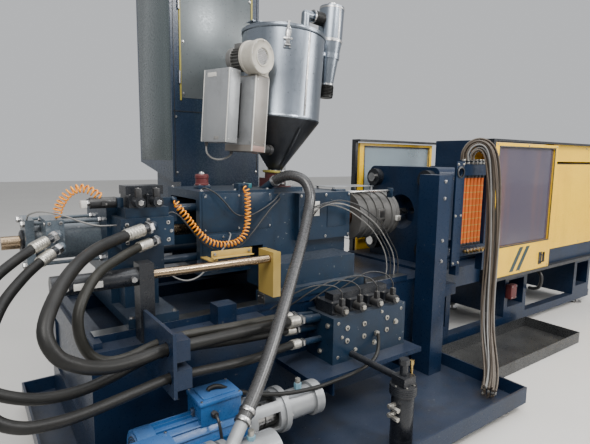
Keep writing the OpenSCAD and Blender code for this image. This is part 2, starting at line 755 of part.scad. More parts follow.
// Clamped heater bands around the barrel
module heater_bands() {
    start = housing_front + 60;
    run = nozzle_back - 90 - start;
    pitch = run / band_count;
    datum() color([0.45, 0.38, 0.28]) for (i = [0 : band_count - 1]) {
        x = start + i * pitch;
        difference() {
            union() {
                rod_x(x, x + pitch - 30, 0, axis_height, barrel_d - 10 + 2 * band_t);
                block(x + 40, x + pitch - 45, -16, 16, axis_height - barrel_d / 2 - 26, axis_height - barrel_d / 2 + 4);
            }
            rod_x(x - 1, x + pitch, 0, axis_height, barrel_d - 10 + 2 * running_gap);
        }
    }
}

// Ribbed sheet mantle around the heated barrel
module barrel_cover() {
    outer = 360;
    datum() color([0.52, 0.52, 0.50]) {
        difference() {
            union() {
                rod_x(-900, nozzle_back - 40, 0, axis_height, outer);
                for (x = [-900 : 86 : nozzle_back - 60]) rod_x(x, x + 14, 0, axis_height, outer + 24);
            }
            rod_x(-880, nozzle_back - 20, 0, axis_height, outer - 12);
            rod_x(-901, -879, 0, axis_height, barrel_d + 26);
            block(-901, 0, -60, 60, axis_height - 260, axis_height - 150);
        }
        difference() {
            rod_x(nozzle_back - 50, nozzle_back - 40, 0, axis_height, outer);
            rod_x(nozzle_back - 51, nozzle_back - 39, 0, axis_height, barrel_d + 14 + 2 * running_gap);
        }
    }
}

module nozzle() {
    datum() color(bare_steel) difference() {
        union() {
            rod_x(nozzle_back, nozzle_back + 60, 0, axis_height, 110);
            rod_x(nozzle_back + 60, nozzle_tip - 40, 0, axis_height, 60);
            translate([nozzle_tip - 40, 0, axis_height]) rotate([0, 90, 0]) cylinder(h = 40, d1 = 50, d2 = 24);
        }
        rod_x(nozzle_back - 1, nozzle_tip + 1, 0, axis_height, 8);
        rod_x(nozzle_back - 1, nozzle_back + 30, 0, axis_height, 36);
    }
}

// Plasticising screw with its flights as a stack of stepped collars
module screw() {
    front = nozzle_back - 200;
    back = crosshead_front + crosshead_t;
    lead = screw_d;
    datum() color(bare_steel) {
        rod_x(back - 60, front, 0, axis_height, screw_d - 16);
        rod_x(back - 40, -1640, 0, axis_height, screw_d);
        for (x = [-1600 : lead : front - 30]) rod_x(x, x + 8, 0, axis_height, screw_d);
        translate([front, 0, axis_height]) rotate([0, 90, 0]) cylinder(h = 40, d1 = screw_d - 16, d2 = 8);
    }
}

// Crosshead that carries the screw on the four guide rods
module crosshead() {
    datum() color(block_blue) difference() {
        block(crosshead_front, crosshead_front + crosshead_t, -190, 190, axis_height - 190, axis_height + 190);
        for (y = [-1, 1], z = [-1, 1]) {
            rod_x(crosshead_front - 1, crosshead_front + crosshead_t + 1, y * guide_rod_off,
                axis_height + z * guide_rod_off, guide_rod_d + 2 * running_gap);
        }
        rod_x(crosshead_front + 25, crosshead_front + crosshead_t + 1, 0, axis_height, screw_d + 2 * running_gap);
    }
}

module hydraulic_motor() {
    datum() color([0.16, 0.17, 0.19]) {
        rod_x(crosshead_front - 150, crosshead_front, 0, axis_height - 100, 110);
        rod_x(crosshead_front - 30, crosshead_front, 0, axis_height - 100, 124);
    }
}

// Piston with its through rod
module piston_rod() {
    datum() color(bare_steel) {
        rod_x(tube_back - 100, crosshead_front, 0, axis_height, piston_rod_d);
        rod_x(-2901, -2851, 0, axis_height, injection_tube_d - 40 - 2 * running_gap);
    }
}

// Rear yoke with its four guide rods pressed in
module rear_yoke() {
    datum() color(block_blue) difference() {
        union() {
            block(yoke_back, yoke_front, -230, 230, axis_height - 200, axis_height + 190);
            for (y = [-1, 1]) {
                block(yoke_back + 20, yoke_front - 20, y < 0 ? -rail_y - 40 : 180, y < 0 ? -180 : rail_y + 40, rail_top, rail_top + 50);
                block(yoke_back + 60, yoke_front - 60, y < 0 ? -300 : 180, y < 0 ? -180 : 300, rail_top + 50, axis_height - 150);
                for (z = [-1, 1]) {
                    rod_x(yoke_front - 10, guide_rod_end, y * guide_rod_off, axis_height + z * guide_rod_off, guide_rod_d);
                }
            }
            block(yoke_back + 20, yoke_front - 20, -180, 180, rail_top, axis_height - 150);
            block(yoke_front - 10, -2380, -258, -228, axis_height + 90, axis_height + 225);
            stub(route_coil[0], -leaving(route_coil), 22, 30);
        }
        rod_x(yoke_back - 1, yoke_front + 1, 0, axis_height, piston_rod_d + 2 * running_gap);
    }
}

module injection_cylinder() {
    bore = injection_tube_d - 40;
    datum() color([0.72, 0.73, 0.74]) difference() {
        union() {
            rod_x(tube_back, yoke_back, 0, axis_height, injection_tube_d);
            block(tube_back, tube_back + 40, -125, 125, axis_height - 125, axis_height + 125);
            for (y = [-1, 1], z = [-1, 1]) {
                rod_x(tube_back - 20, yoke_back, y * 105, axis_height + z * 105, 20);
            }
            block(-3040, -2960, -290, -60, axis_height - 20, axis_height + 140);
            elbow(route_upper, feed_hose_d - 4, 60, -285);
            elbow(route_lower, feed_hose_d - 4, 60, -285);
        }
        rod_x(tube_back + 40, yoke_back - 40, 0, axis_height, bore);
        rod_x(tube_back - 1, yoke_back + 1, 0, axis_height, piston_rod_d + 2 * running_gap);
    }
}

// Drilled block that feeds the injection cylinder
module valve_block() {
    datum() color([0.22, 0.30, 0.36]) difference() {
        union() {
            block(-2730, -2460, -420, -230, axis_height - 10, axis_height + 140);
            block(-2700, -2480, -400, -240, axis_height + 140, axis_height + 190);
            elbow(route_main, main_hose_d - 6, 60, -415);
            elbow(route_feed, feed_hose_d - 6, 50, -415);
        }
        for (x = [-2700, -2490], z = [20, 110]) {
            rod_y(-421, -400, x, axis_height + z, 24);
        }
    }
}

module injection_valves() {
    datum() color([0.20, 0.24, 0.29]) {
        for (x = [-2680, -2590]) {
            block(x, x + 70, -395, -245, axis_height + 190, axis_height + 255);
            rod_y(-470, -395, x + 35, axis_height + 222, 52);
            rod_y(-245, -200, x + 35, axis_height + 222, 52);
        }
        block(-2690, -2500, -380, -260, axis_height + 255, axis_height + 300);
    }
}

// Cylinder that presses the nozzle to its seat, with its foot
module carriage_cylinder() {
    y = carriage_rod_y;
    z = axis_height - 120;
    datum() color([0.10, 0.12, 0.16]) difference() {
        union() {
            rod_x(-3060, -2660, y, z, 88);
            rod_x(-3070, -3030, y, z, 96);
            block(-2700, -2630, y - 45, y + 45, bed_height, z + 65);
        }
        rod_x(-3045, -2629, y, z, 46);
    }
}

module carriage_rod() {
    y = carriage_rod_y;
    z = axis_height - 120;
    datum() color([0.75, 0.62, 0.45]) {
        rod_x(-2780, -1925, y, z, 46 - 2 * running_gap);
        block(-1950, -1900, y - 40, -rail_y + 20, rail_top + 60, z + 40);
    }
}

// Feed throat on the housing, with a slot for the shut-off slide
module throat_block() {
    z = housing_high;
    datum() color([0.45, 0.12, 0.14]) difference() {
        union() {
            block(hopper_x - 80, hopper_x + 80, -80, 80, z, z + 60);
            rod_z(z + 60, z + throat_h + 8, hopper_x, 0, 140);
        }
        dryer_frame() translate([-100, -100, 0]) cube([200, 200, 40]);
        rod_z(z - 1, z + throat_h + 9, hopper_x, 0, 70);
        block(hopper_x - 50.3, hopper_x + 50.3, -81, 81, z + 25.7, z + 36.3);
    }
}

module gate_slide() {
    z = housing_high;
    datum() color(bare_steel) difference() {
        union() {
            block(hopper_x - 50, hopper_x + 50, -170, 59, z + 26, z + 36);
            block(hopper_x - 30, hopper_x + 30, -180, -168, z + 15, z + 60);
        }
        rod_z(z + 20, z + 40, hopper_x, 0, 70);
    }
}

// The leaning frame of the whole dryer, from the throat up
module dryer_frame() {
    translate([hopper_x, 0, hopper_base]) rotate([0, dryer_lean, 0]) children();
}

module hopper_body() {
    r = hopper_d / 2;
    ro = hopper_outlet_d / 2;
    datum() color(dryer_grey) dryer_frame() {
        rotate_extrude($fn = 64) polygon([
            [ro, 0], [ro + 40, 0], [ro + 40, 8], [ro + 6, 12], [r, hopper_joint], [r, hopper_rim - 14],
            [r + 8, hopper_rim - 14], [r + 8, hopper_rim], [r - hopper_sheet, hopper_rim],
            [r - hopper_sheet, hopper_joint + 1], [ro, 14]
        ]);
        rotate([0, 0, latch_turn]) translate([r - 2, -24, hopper_rim - 150]) cube([8, 48, 70]);
        difference() {
            translate([r - 2, -50, cyclone_low + 270]) cube([cyclone_x - r, 100, 26]);
            translate([cyclone_x, 0, cyclone_low + 74]) cylinder(h = 316, r1 = 48.2, r2 = cyclone_d / 2 + 0.2);
        }
    }
}

// Domed lid with the inlet stub for the cyclone's cuff
module hopper_lid() {
    r = hopper_d / 2 + 8;
    datum() color(dryer_grey) dryer_frame() translate([0, 0, hopper_rim]) difference() {
        union() {
            rotate_extrude($fn = 64) polygon([
                [0, lid_rise - 4], [r - 60, 14], [r - 4, 0], [r, 0], [r, 6], [r - 58, 20], [0, lid_rise + 2]
            ]);
            translate([170, 0, 10]) cylinder(h = inlet_z - hopper_rim - 10, d = inlet_d);
            translate([170, 0, inlet_z - hopper_rim]) rotate([0, 90, 0]) cylinder(h = 70, d = inlet_d);
            translate([170, 0, inlet_z - hopper_rim]) sphere(d = inlet_d);
            translate([flap_x, 0, 12]) cylinder(h = lid_rise - 11, d = flap_d - 8);
        }
        translate([flap_x, 0, -20]) cylinder(h = 80, d = flap_d - 24);
    }
}

module lid_flap() {
    datum() color(dryer_grey) dryer_frame() translate([flap_x, 0, hopper_rim + lid_rise + 1]) {
        cylinder(h = 4, d = flap_d);
        translate([-flap_d / 2 - 12, -30, 0]) cube([30, 60, 8]);
        translate([-flap_d / 2 - 12, -40, 4]) rotate([-90, 0, 0]) cylinder(h = 80, d = 8);
        translate([flap_d / 2 - 10, -15, 0]) cube([24, 30, 5]);
    }
}

// Toggle latch that clamps the lid's rim
module lid_latch() {
    r = hopper_d / 2;
    datum() color(bare_steel) dryer_frame() rotate([0, 0, latch_turn]) translate([r + 0.3, 0, hopper_rim - 150]) {
        translate([6, -12, 20]) cube([10, 24, 80]);
        translate([12.5, -18, 20]) rotate([-90, 0, 0]) cylinder(h = 36, d = 12);
        translate([10, -6, 90]) cube([5, 12, 72]);
        translate([3, -10, 157.6]) cube([12, 20, 6]);
    }
}

// Dust cyclone beside the hopper with its rubber cuffs
module cyclone() {
    r = cyclone_d / 2;
    low = 200;
    inlet = inlet_z - cyclone_low;
    datum() color(dryer_grey) dryer_frame() translate([cyclone_x, 0, cyclone_low]) difference() {
        union() {
            rotate_extrude($fn = 48) polygon([
                [42, 0], [50, 0], [50, 70], [48, 74], [r, low + 190], [r, low + 430], [30, low + 436],
                [30, low + 460], [0, low + 460], [0, low + 430], [r - 4, low + 426], [r - 4, low + 190],
                [44, 74], [42, 70]
            ]);
            translate([-170, 0, inlet]) rotate([0, 90, 0]) cylinder(h = 100, d = inlet_d + 16);
            for (i = [0 : 4]) translate([-168 + i * 16, 0, inlet]) rotate([0, 90, 0]) cylinder(h = 8, d = inlet_d + 24);
        }
        translate([-171, 0, inlet]) rotate([0, 90, 0]) cylinder(h = 140, d = inlet_d + 0.2);
    }
}

// Control box, heater box and the air duct to the cone
module heater_box() {
    datum() color(dryer_grey) dryer_frame() rotate([0, 0, dryer_turn]) {
        translate([-580, -110, 150]) cube([90, 220, 430]);
        translate([-490, -60, 190]) cube([60, 120, 330]);
        translate([-430, -175, 110]) cube([120, 235, 455]);
        translate([-330, -70, 140]) rotate([0, 90, 0]) cylinder(h = 180, d = 60);
        difference() {
            translate([-320, -40, 420]) cube([46, 90, 60]);
            translate([0, 0, 400]) cylinder(h = 100, d = hopper_d + 0.4);
        }
    }
}

// Scroll blower with its motor, on top of the heater box
module blower() {
    datum() color([0.80, 0.78, 0.72]) dryer_frame() rotate([0, 0, dryer_turn]) translate([-420, -215, 665]) {
        rotate([-90, 0, 0]) cylinder(h = 110, d = 200);
        translate([10, 40, -100]) cube([92, 70, 100]);
        translate([0, 110, 0]) rotate([-90, 0, 0]) cylinder(h = 30, d = 130);
        translate([0, 140, 0]) rotate([-90, 0, 0]) cylinder(h = 110, d = 150);
    }
}

// Main pressure and flow control block
module main_manifold() {
    datum() color(block_blue) difference() {
        block(manifold_left, manifold_right, manifold_near, -500, 430, 716);
        for (x = [-1520, -1380, -1180], z = [640, 560]) rod_y(manifold_near - 1, manifold_near + 30, x, z, 34);
        for (x = [-1590, -1050], z = [470, 680]) rod_y(manifold_near - 1, manifold_near + 20, x, z, 22);
    }
    datum() color(block_blue) difference() {
        for (r = [route_main, route_feed, route_upper, route_lower]) {
            stub(r[len(r) - 1], entering(r), r == route_main ? main_hose_d - 6 : feed_hose_d - 6, 290);
        }
        block(manifold_left, manifold_right, manifold_near, -400, 430, 800);
    }
}

module manifold_valves() {
    datum() color([0.13, 0.17, 0.22]) {
        for (i = [0 : 3]) {
            x = -1600 + i * 145;
            block(x, x + 90, -700, -540, 716, 790);
            rod_y(-740, -700, x + 45, 755, 50);
        }
        block(-1560, -1100, -660, -580, 790, 830);
    }
}

// Pressure filter with its head and bowl
module filter() {
    x = -1480;
    y = -1165;
    datum() color([0.12, 0.14, 0.17]) {
        rod_z(pan_floor, 420, x, y, filter_d);
        rod_z(395, 450, x, y, filter_d + 24);
        block(x - 45, x + 45, y - 45, y + 45, 440, 500);
        rod_z(500, 560, x, y, 44);
        translate([x, y, 560]) rotate([0, 0, 0]) cylinder(h = 30, d = 60, $fn = 6);
        rod_y(y + 45, manifold_near, x, 470, 40);
    }
}

// Two finned electric motors on feet, each with its terminal box
module pump_motors() {
    datum() color([0.10, 0.22, 0.42]) {
        pump_motor(motor_x1, motor_y1, motor_x1 + 230);
        pump_motor(motor_x2, motor_y2, motor_x2 + 100);
    }
}

module pump_motor(x, y, box_x) {
    fins = 20;
    difference() {
        union() {
            rod_x(x, x + motor_l - 10, y, pump_axis, motor_d - 30);
            rod_x(x - 40, x + 30, y, pump_axis, motor_d - 6);
            rod_x(x + 415, x + motor_l, y, pump_axis, motor_d);
            for (i = [0 : fins - 1]) {
                translate([x + 30, y, pump_axis]) rotate([i * 360 / fins, 0, 0])
                    translate([0, -3, motor_d / 2 - 18]) cube([386, 6, 15]);
            }
            block(x + 60, x + 110, y - 105, y + 105, pan_floor, pump_axis - 60);
            block(x + 330, x + 380, y - 105, y + 105, pan_floor, pump_axis - 60);
            block(box_x, box_x + 200, y - 75, y + 75, pump_axis + 90, pump_axis + 190);
        }
        block(x + 59, x + 381, y - 60, y + 60, pan_floor - 1, pan_floor + 90);
        rod_x(x + motor_l - 20, x + motor_l + 1, y, pump_axis, shaft_d + 2 * running_gap);
    }
}

// Bell housings, the nearer pump's with windows, and the pumps flanged to them
module pumps() {
    datum() color([0.30, 0.45, 0.60]) {
        pump_set(motor_x1 + motor_l, motor_y1, bell_l, 1);
        pump_set(motor_x2 + motor_l, motor_y2, 60, 0);
        stub(route_suction[len(route_suction) - 1], entering(route_suction), grey_hose_d - 8, 120);
    }
}

module pump_set(x, y, bell, open) {
    difference() {
        union() {
            rod_x(x, x + 30, y, pump_axis, motor_d);
            rod_x(x + 20, x + bell, y, pump_axis, motor_d - 40);
            rod_x(x + bell - 10, x + bell + 20, y, pump_axis, motor_d - 20);
            block(x + 2, x + 28, y - 90, y + 90, pan_floor, pump_axis - 60);
        }
        rod_x(x - 1, x + bell - 9, y, pump_axis, motor_d - 80);
        rod_x(x + bell - 10, x + bell + 10, y, pump_axis, shaft_d + 2 * running_gap);
        if (open > 0) {
            block(x + 60, x + 190, y - motor_d, y + motor_d, pump_axis - 45, pump_axis + 45);
            block(x + 60, x + 190, y - 60, y + 60, pump_axis, pump_axis + motor_d);
        }
    }
    rod_x(x + bell + 20, x + bell + 200, y, pump_axis, open > 0 ? 150 : 180);
    rod_x(x + bell + 200, x + bell + 250, y, pump_axis, 180);
}

module pump_coupling() {
    x = motor_x1 + motor_l;
    datum() color([0.55, 0.56, 0.57]) difference() {
        union() {
            rod_x(x - 19, x + bell_l + 9, motor_y1, pump_axis, shaft_d);
            rod_x(x + 50, x + 120, motor_y1, pump_axis, 120);
            rod_x(x + 128, x + 198, motor_y1, pump_axis, 120);
            rod_x(x + 118, x + 130, motor_y1, pump_axis, 106);
        }
        for (a = [0 : 60 : 300]) {
            translate([x + 49, motor_y1, pump_axis]) rotate([a, 0, 0]) translate([0, 0, 42]) rotate([0, 90, 0])
                cylinder(h = 30, d = 12, $fn = 16);
        }
    }
}

// Water distributor before the platen: posts, bars and flow tubes
module water_battery() {
    x0 = battery_left;
    y0 = battery_near;
    datum() {
        color([0.35, 0.37, 0.38]) difference() {
            block(x0, x0 + 90, y0 - 8, y0, 880, 1640);
            rod_y(y0 - 9, y0 + 1, x0 + 45, 1565, 60);
        }
        color(machine_blue) {
            block(x0 + 70, x0 + 110, y0, y0 + 60, 800, 1600);
            block(x0 + 400, x0 + 440, y0, y0 + 60, 800, 1600);
            block(x0 + 70, x0 + 440, y0, y0 + 60, 1540, 1620);
            block(x0 + 70, x0 + 440, y0, y0 + 60, 940, 1010);
            block(column_x + column_w, x0 + 110, y0 + 60, y0 + 90, 1000, 1060);
            block(x0 + 80, x0 + 110, y0 + 59, -360, 1000, 1060);
        }
        color([0.80, 0.32, 0.12]) for (i = [0 : 5]) {
            rod_z(1010, 1540, x0 + 150 + i * 44, y0 + 30, 26);
        }
        color(bare_steel) for (i = [0 : 5]) {
            rod_z(1620, 1650, x0 + 130 + i * 50, y0 + 30, 24);
        }
    }
}

module hose_main() {
    datum() color(hose_black) tube_along(route_main, main_hose_d, 2, 10);
}

module hose_feed() {
    datum() color(hose_black) tube_along(route_feed, feed_hose_d, 2, 10);
}

module hose_upper() {
    datum() color(hose_black) tube_along(route_upper, feed_hose_d, 2, 10);
}

module hose_lower() {
    datum() color(hose_black) tube_along(route_lower, feed_hose_d, 2, 10);
}

module hose_suction() {
    datum() color([0.35, 0.35, 0.36]) tube_along(route_suction, grey_hose_d, 2, 10);
}

module coiled_air_line() {
    datum() color([0.92, 0.60, 0.08]) tube_along(route_coil, coil_line_d, 2, 10);
}

module water_hoses() {
    datum() color([0.30, 0.26, 0.22]) tube_along(route_bundle, bundle_d, 2, 12);
}

bed_frame();
clamp_base();
levelling_feet();
drip_tray();
fixed_platen();
clamp_head();
tie_bars();
tie_bar_nuts();
clamp_ram();
moving_platen();
ejector_bar();
rear_guard();
rear_window();
front_guard();
front_window();
guard_rails();
clamp_cover();
cabinet_body();
cabinet_door();
main_switch();
control_panel();
emergency_stop();
carriage_housing();
barrel();
heater_bands();
barrel_cover();
nozzle();
screw();
crosshead();
hydraulic_motor();
piston_rod();
rear_yoke();
injection_cylinder();
valve_block();
injection_valves();
carriage_cylinder();
carriage_rod();
throat_block();
gate_slide();
hopper_body();
hopper_lid();
lid_flap();
lid_latch();
cyclone();
heater_box();
blower();
main_manifold();
manifold_valves();
filter();
pump_motors();
pumps();
pump_coupling();
water_battery();
hose_upper();
hose_lower();
hose_main();
hose_feed();
hose_suction();
coiled_air_line();
water_hoses();
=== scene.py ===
# Injection moulding machine with a hopper dryer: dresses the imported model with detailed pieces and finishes.
import bpy, bmesh, math
from itertools import product
from mathutils import Vector, Matrix


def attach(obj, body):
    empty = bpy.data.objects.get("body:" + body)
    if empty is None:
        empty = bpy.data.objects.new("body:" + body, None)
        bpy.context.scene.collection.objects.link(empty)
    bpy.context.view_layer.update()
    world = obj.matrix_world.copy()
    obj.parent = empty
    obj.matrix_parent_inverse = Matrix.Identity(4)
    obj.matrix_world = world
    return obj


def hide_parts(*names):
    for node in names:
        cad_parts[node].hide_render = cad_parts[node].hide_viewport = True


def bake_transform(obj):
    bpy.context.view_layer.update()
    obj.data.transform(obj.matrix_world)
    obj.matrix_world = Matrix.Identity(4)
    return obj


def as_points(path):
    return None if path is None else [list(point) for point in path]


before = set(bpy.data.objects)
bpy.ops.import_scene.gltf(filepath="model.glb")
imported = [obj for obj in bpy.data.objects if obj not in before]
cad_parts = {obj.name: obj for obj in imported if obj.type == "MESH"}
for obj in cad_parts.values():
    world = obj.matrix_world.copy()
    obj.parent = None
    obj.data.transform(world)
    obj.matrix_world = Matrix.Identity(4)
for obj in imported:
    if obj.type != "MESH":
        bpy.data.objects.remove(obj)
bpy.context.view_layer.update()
floorLevel = -1.2  # the machine axis is 1.2 m above the floor
sharpAngle = 34  # edges above this many degrees stay sharp
machinePlace = Matrix.Translation((0, 0, floorLevel)) @ Matrix.Scale(0.001, 4)  # millimetres above the floor
toLeft, toRight, toNear, toTop, toBottom = (-1, 0, 0), (1, 0, 0), (0, -1, 0), (0, 0, 1), (0, 0, -1)


def mm(x, y, z):  # a place in millimetres above the floor, as the frame's metres
    return Vector((x / 1000, y / 1000, z / 1000 + floorLevel))


def spread(xs, ys, zs):  # every place of a grid, where a bare number stands for one row
    return product(*(v if isinstance(v, (tuple, range)) else (v,) for v in (xs, ys, zs)))


def turnTo(axis):  # turns +Z to an axis
    return Vector(toTop).rotation_difference(Vector(axis)).to_matrix().to_4x4()


def circle(centre, plane, radius, angles):  # places on a circle in the plane of two axes
    for angle in angles:
        place = Vector(centre)
        place["XYZ".index(plane[0])] += radius * math.cos(math.radians(angle))
        place["XYZ".index(plane[1])] += radius * math.sin(math.radians(angle))
        yield place


def facesSince(bm, old):  # the faces that a step has added
    return [face for face in bm.faces if face not in old]


# lines and pipes
def smoothPath(points, steps=2):  # the same smooth line as the solids follow
    p = [Vector(q) for q in points]
    pick = lambda i: p[max(0, min(len(p) - 1, i))]
    line = []
    for i in range(len(p) - 1):
        a, b, c, d = pick(i - 1), pick(i), pick(i + 1), pick(i + 2)
        for k in range(steps):
            t = k / steps
            start, bow = 2 * b + (c - a) * t, (2 * a - 5 * b + 4 * c - d) * t * t
            line.append(0.5 * (start + bow + (3 * b - a - 3 * c + d) * t ** 3))
    line.append(p[-1])
    return line


def metres(points):  # points in millimetres from the origin
    return [tuple(v / 1000 for v in point) for point in points]


def pathLength(line):
    return sum((b - a).length for a, b in zip(line, line[1:]))


def pathFrames(line):  # heading, side and up at each point, carried without twist
    frames, side = [], Vector((0.2, 0.1, 1))
    for i in range(len(line)):
        way = (line[min(i + 1, len(line) - 1)] - line[max(i - 1, 0)]).normalized()
        side = (side - way * side.dot(way)).normalized()
        frames.append((way, side, way.cross(side)))
    return frames


def addPipe(bm, line, radius, sides=12):
    old, ring, last = set(bm.faces), None, None
    for point, (way, side, up) in zip(line, pathFrames(line)):
        turn = Matrix((side, up, way)).transposed().to_4x4()
        place = Matrix.Translation(point) @ turn @ Matrix.Diagonal((radius, radius, 1, 1))
        if ring is None:
            made = bmesh.ops.create_circle(bm, cap_ends=True, segments=sides, radius=1, matrix=place)
            ring = list({e for v in made["verts"] for e in v.link_edges})
        else:
            made = bmesh.ops.extrude_edge_only(bm, edges=ring)["geom"]
            verts = {g for g in made if isinstance(g, bmesh.types.BMVert)}
            ring = [g for g in made if isinstance(g, bmesh.types.BMEdge) and all(v in verts for v in g.verts)]
            bmesh.ops.transform(bm, matrix=place @ last.inverted(), verts=list(verts))
        last = place
    bmesh.ops.edgeloop_fill(bm, edges=ring)
    bmesh.ops.recalc_face_normals(bm, faces=facesSince(bm, old))


def finishPiece(bm, name, body, slot, materials):
    for face in bm.faces:
        face.smooth = True
    for edge in bm.edges:
        if len(edge.link_faces) == 2 and edge.calc_face_angle(0) > math.radians(sharpAngle):
            edge.smooth = False
    mesh = bpy.data.meshes.new(name)
    bm.to_mesh(mesh)
    bm.free()
    piece = bpy.data.objects.new(name, mesh)
    bpy.context.scene.collection.objects.link(piece)
    for material in materials:
        mesh.materials.append(material)
    if body:
        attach(piece, body)
    return piece


boltShape = {"washer": 0.18, "washerRadius": 1.15, "head": 0.85, "bevel": 0.1}  # in head radii
screwShape = {"head": 0.7, "bevel": 0.12, "holeRadius": 0.5, "holeStart": 0.71, "holeEnd": 0.74}
panelShape = {"rows": (0.035, 0.965), "bevel": 0.7, "thick": 1.6, "head": 2.2, "headRadius": 3.8}
coilShape = {"nut": 14, "nutRadius": 0.55, "overlap": 12, "plugAt": 0.45, "plugOut": 0.8, "plugHalf": 14,
             "plugLong": 34, "leadStart": 46, "leadEnd": 52, "leadRadius": 4}


class Shape:  # one piece in the making, in millimetres above the floor or in a place of its own
    def __init__(self, name, body, slot, finish, place=None):
        self.name, self.body, self.slot, self.finishes = name, body, slot, [finish]
        self.place = machinePlace if place is None else place
        self.bm = bmesh.new()

    def take(self, old, finish, turn=None):  # turns and paints what a step has added
        faces = facesSince(self.bm, old)
        if turn is not None:
            bmesh.ops.transform(self.bm, matrix=turn, verts=list({v for face in faces for v in face.verts}))
        if finish and finish not in self.finishes:
            self.finishes.append(finish)
        for face in faces:
            face.material_index = self.finishes.index(finish or self.finishes[0])

    def round(self, edges, width, segments=2):
        bmesh.ops.bevel(self.bm, geom=list(edges), offset=width, offset_type="OFFSET", segments=segments,
            profile=0.5, affect="EDGES", material=-1, clamp_overlap=True)

    def block(self, start, end, bevel=0, finish=None, turn=None, segments=2):
        old = set(self.bm.faces)
        low, high = (Vector([pick(pair) for pair in zip(start, end)]) for pick in (min, max))
        size = high - low
        place = Matrix.Translation((low + high) / 2) @ Matrix.Diagonal((*size, 1))
        verts = bmesh.ops.create_cube(self.bm, size=1, matrix=place)["verts"]
        if bevel:
            self.round({e for v in verts for e in v.link_edges}, min(bevel, 0.45 * min(size)), segments)
        self.take(old, finish, turn)

    def rod(self, start, end, radius, finish=None, sides=32, bevel=0, turn=None):
        old = set(self.bm.faces)
        start, end = Vector(start), Vector(end)
        place = Matrix.Translation((start + end) / 2) @ turnTo(end - start)
        verts = bmesh.ops.create_cone(self.bm, cap_ends=True, cap_tris=False, segments=sides, radius1=radius,
            radius2=radius, depth=(end - start).length, matrix=place)["verts"]
        if bevel:
            edges = {e for v in verts for e in v.link_edges}
            self.round([e for e in edges if any(len(f.verts) > 4 for f in e.link_faces)], bevel)
        self.take(old, finish, turn)

    def turned(self, profile, at=(0, 0, 0), axis=toTop, finish=None, sides=48, turn=None):
        old = set(self.bm.faces)  # profile is (radius, height) pairs, spun round the axis
        verts = [self.bm.verts.new((r, 0, h)) for r, h in profile]
        edges = [self.bm.edges.new(pair) for pair in zip(verts, verts[1:])]
        bmesh.ops.spin(self.bm, geom=verts + edges, cent=(0, 0, 0), axis=toTop, dvec=(0, 0, 0),
            angle=2 * math.pi, steps=sides, use_merge=True, use_duplicate=False)
        verts = list({v for face in facesSince(self.bm, old) for v in face.verts})
        bmesh.ops.remove_doubles(self.bm, verts=verts, dist=0.001)
        bmesh.ops.recalc_face_normals(self.bm, faces=facesSince(self.bm, old))
        self.take(old, finish, Matrix.Translation(Vector(at)) @ turnTo(axis) if turn is None else turn)

    def band(self, inner, outer, low, high, at=(0, 0, 0), turn=None):
        self.turned([(inner, low), (outer, low), (outer, high), (inner, high)], at, sides=40, turn=turn)

    def pipe(self, line, radius, finish=None, sides=12):
        old = set(self.bm.faces)
        addPipe(self.bm, line, radius, sides)
        self.take(old, finish)

    def nut(self, start, end, radius, finish=None, bevel=1, turn=None):
        self.rod(start, end, radius, finish, 6, bevel, turn)

    def bolt(self, at, axis, size, finish=None):  # a hexagon head on its washer
        at, axis = Vector(at), Vector(axis).normalized()
        part = {key: size * value for key, value in boltShape.items()}
        self.rod(at, at + axis * part["washer"], part["washerRadius"], finish, 16)
        self.nut(at, at + axis * part["head"], size, finish, part["bevel"])

    def screw(self, at, axis, size, finish=None):  # a socket screw with its dark hexagon hole
        at, axis = Vector(at), Vector(axis).normalized()
        part = {key: size * value for key, value in screwShape.items()}
        self.rod(at, at + axis * part["head"], size, finish, 20, part["bevel"])
        hole = (at + axis * part["holeStart"], at + axis * part["holeEnd"])
        self.rod(*hole, part["holeRadius"], blackPlastic, 6)

    def bolts(self, places, axis, size, finish=None):
        for at in places:
            self.bolt(at, axis, size, finish)

    def screws(self, places, axis, size, finish=None):
        for at in places:
            self.screw(at, axis, size, finish)

    def panel(self, corner, across, up, way, screws, finish=None):  # a screwed cover sheet
        corner, across, up, way = Vector(corner), Vector(across), Vector(up), Vector(way)
        outer = way * panelShape["thick"]
        self.block(corner, corner + across + up + outer, panelShape["bevel"], finish)
        for u, v in product(screws, panelShape["rows"]):
            at = corner + across * u + up * v + outer
            self.rod(at, at + way * panelShape["head"], panelShape["headRadius"], bareSteel, 10)

    def coil(self, start, end, radius, plug, metal):  # a solenoid on its valve, with its plug on one side
        start, end, plug, part = Vector(start), Vector(end), Vector(plug), coilShape
        way, half = (end - start).normalized(), Vector([part["plugHalf"]] * 3)
        self.rod(start, end - way * part["overlap"], radius, blackPlastic, 28, 3)
        self.nut(end - way * part["nut"], end, radius * part["nutRadius"], metal)
        base = start.lerp(end, part["plugAt"]) + plug * radius * part["plugOut"]
        self.block(base - half, base + plug * part["plugLong"] + half, 3, blackPlastic)
        self.rod(base + plug * part["leadStart"], base + plug * part["leadEnd"], part["leadRadius"], metal,
            10)

    def rim(self, x0, x1, z0, z1, width, y0, y1, bevel, finish=None):
        bars = ((x0, x0 + width, z0, z1), (x1 - width, x1, z0, z1),  # four bars round an opening
                (x0, x1, z0, z0 + width), (x0, x1, z1 - width, z1))
        for left, right, low, high in bars:
            self.block((left, y0, low), (right, y1, high), bevel, finish)

    def done(self, replaces=None):
        self.bm.transform(self.place)
        piece = finishPiece(self.bm, self.name, self.body, self.slot, self.finishes)
        if replaces:
            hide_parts(replaces)


def ribs(inner, outer, start, pitch, count):  # rounded ribs of a cuff or a bellows
    middle, profile = (inner + outer) / 2, []
    for low in (start + i * pitch for i in range(count)):
        profile += [(inner, low), (middle, low + pitch * 0.12), (outer, low + pitch * 0.3),
            (outer, low + pitch * 0.55), (middle, low + pitch * 0.75)]
    return profile + [(inner, start + count * pitch)]


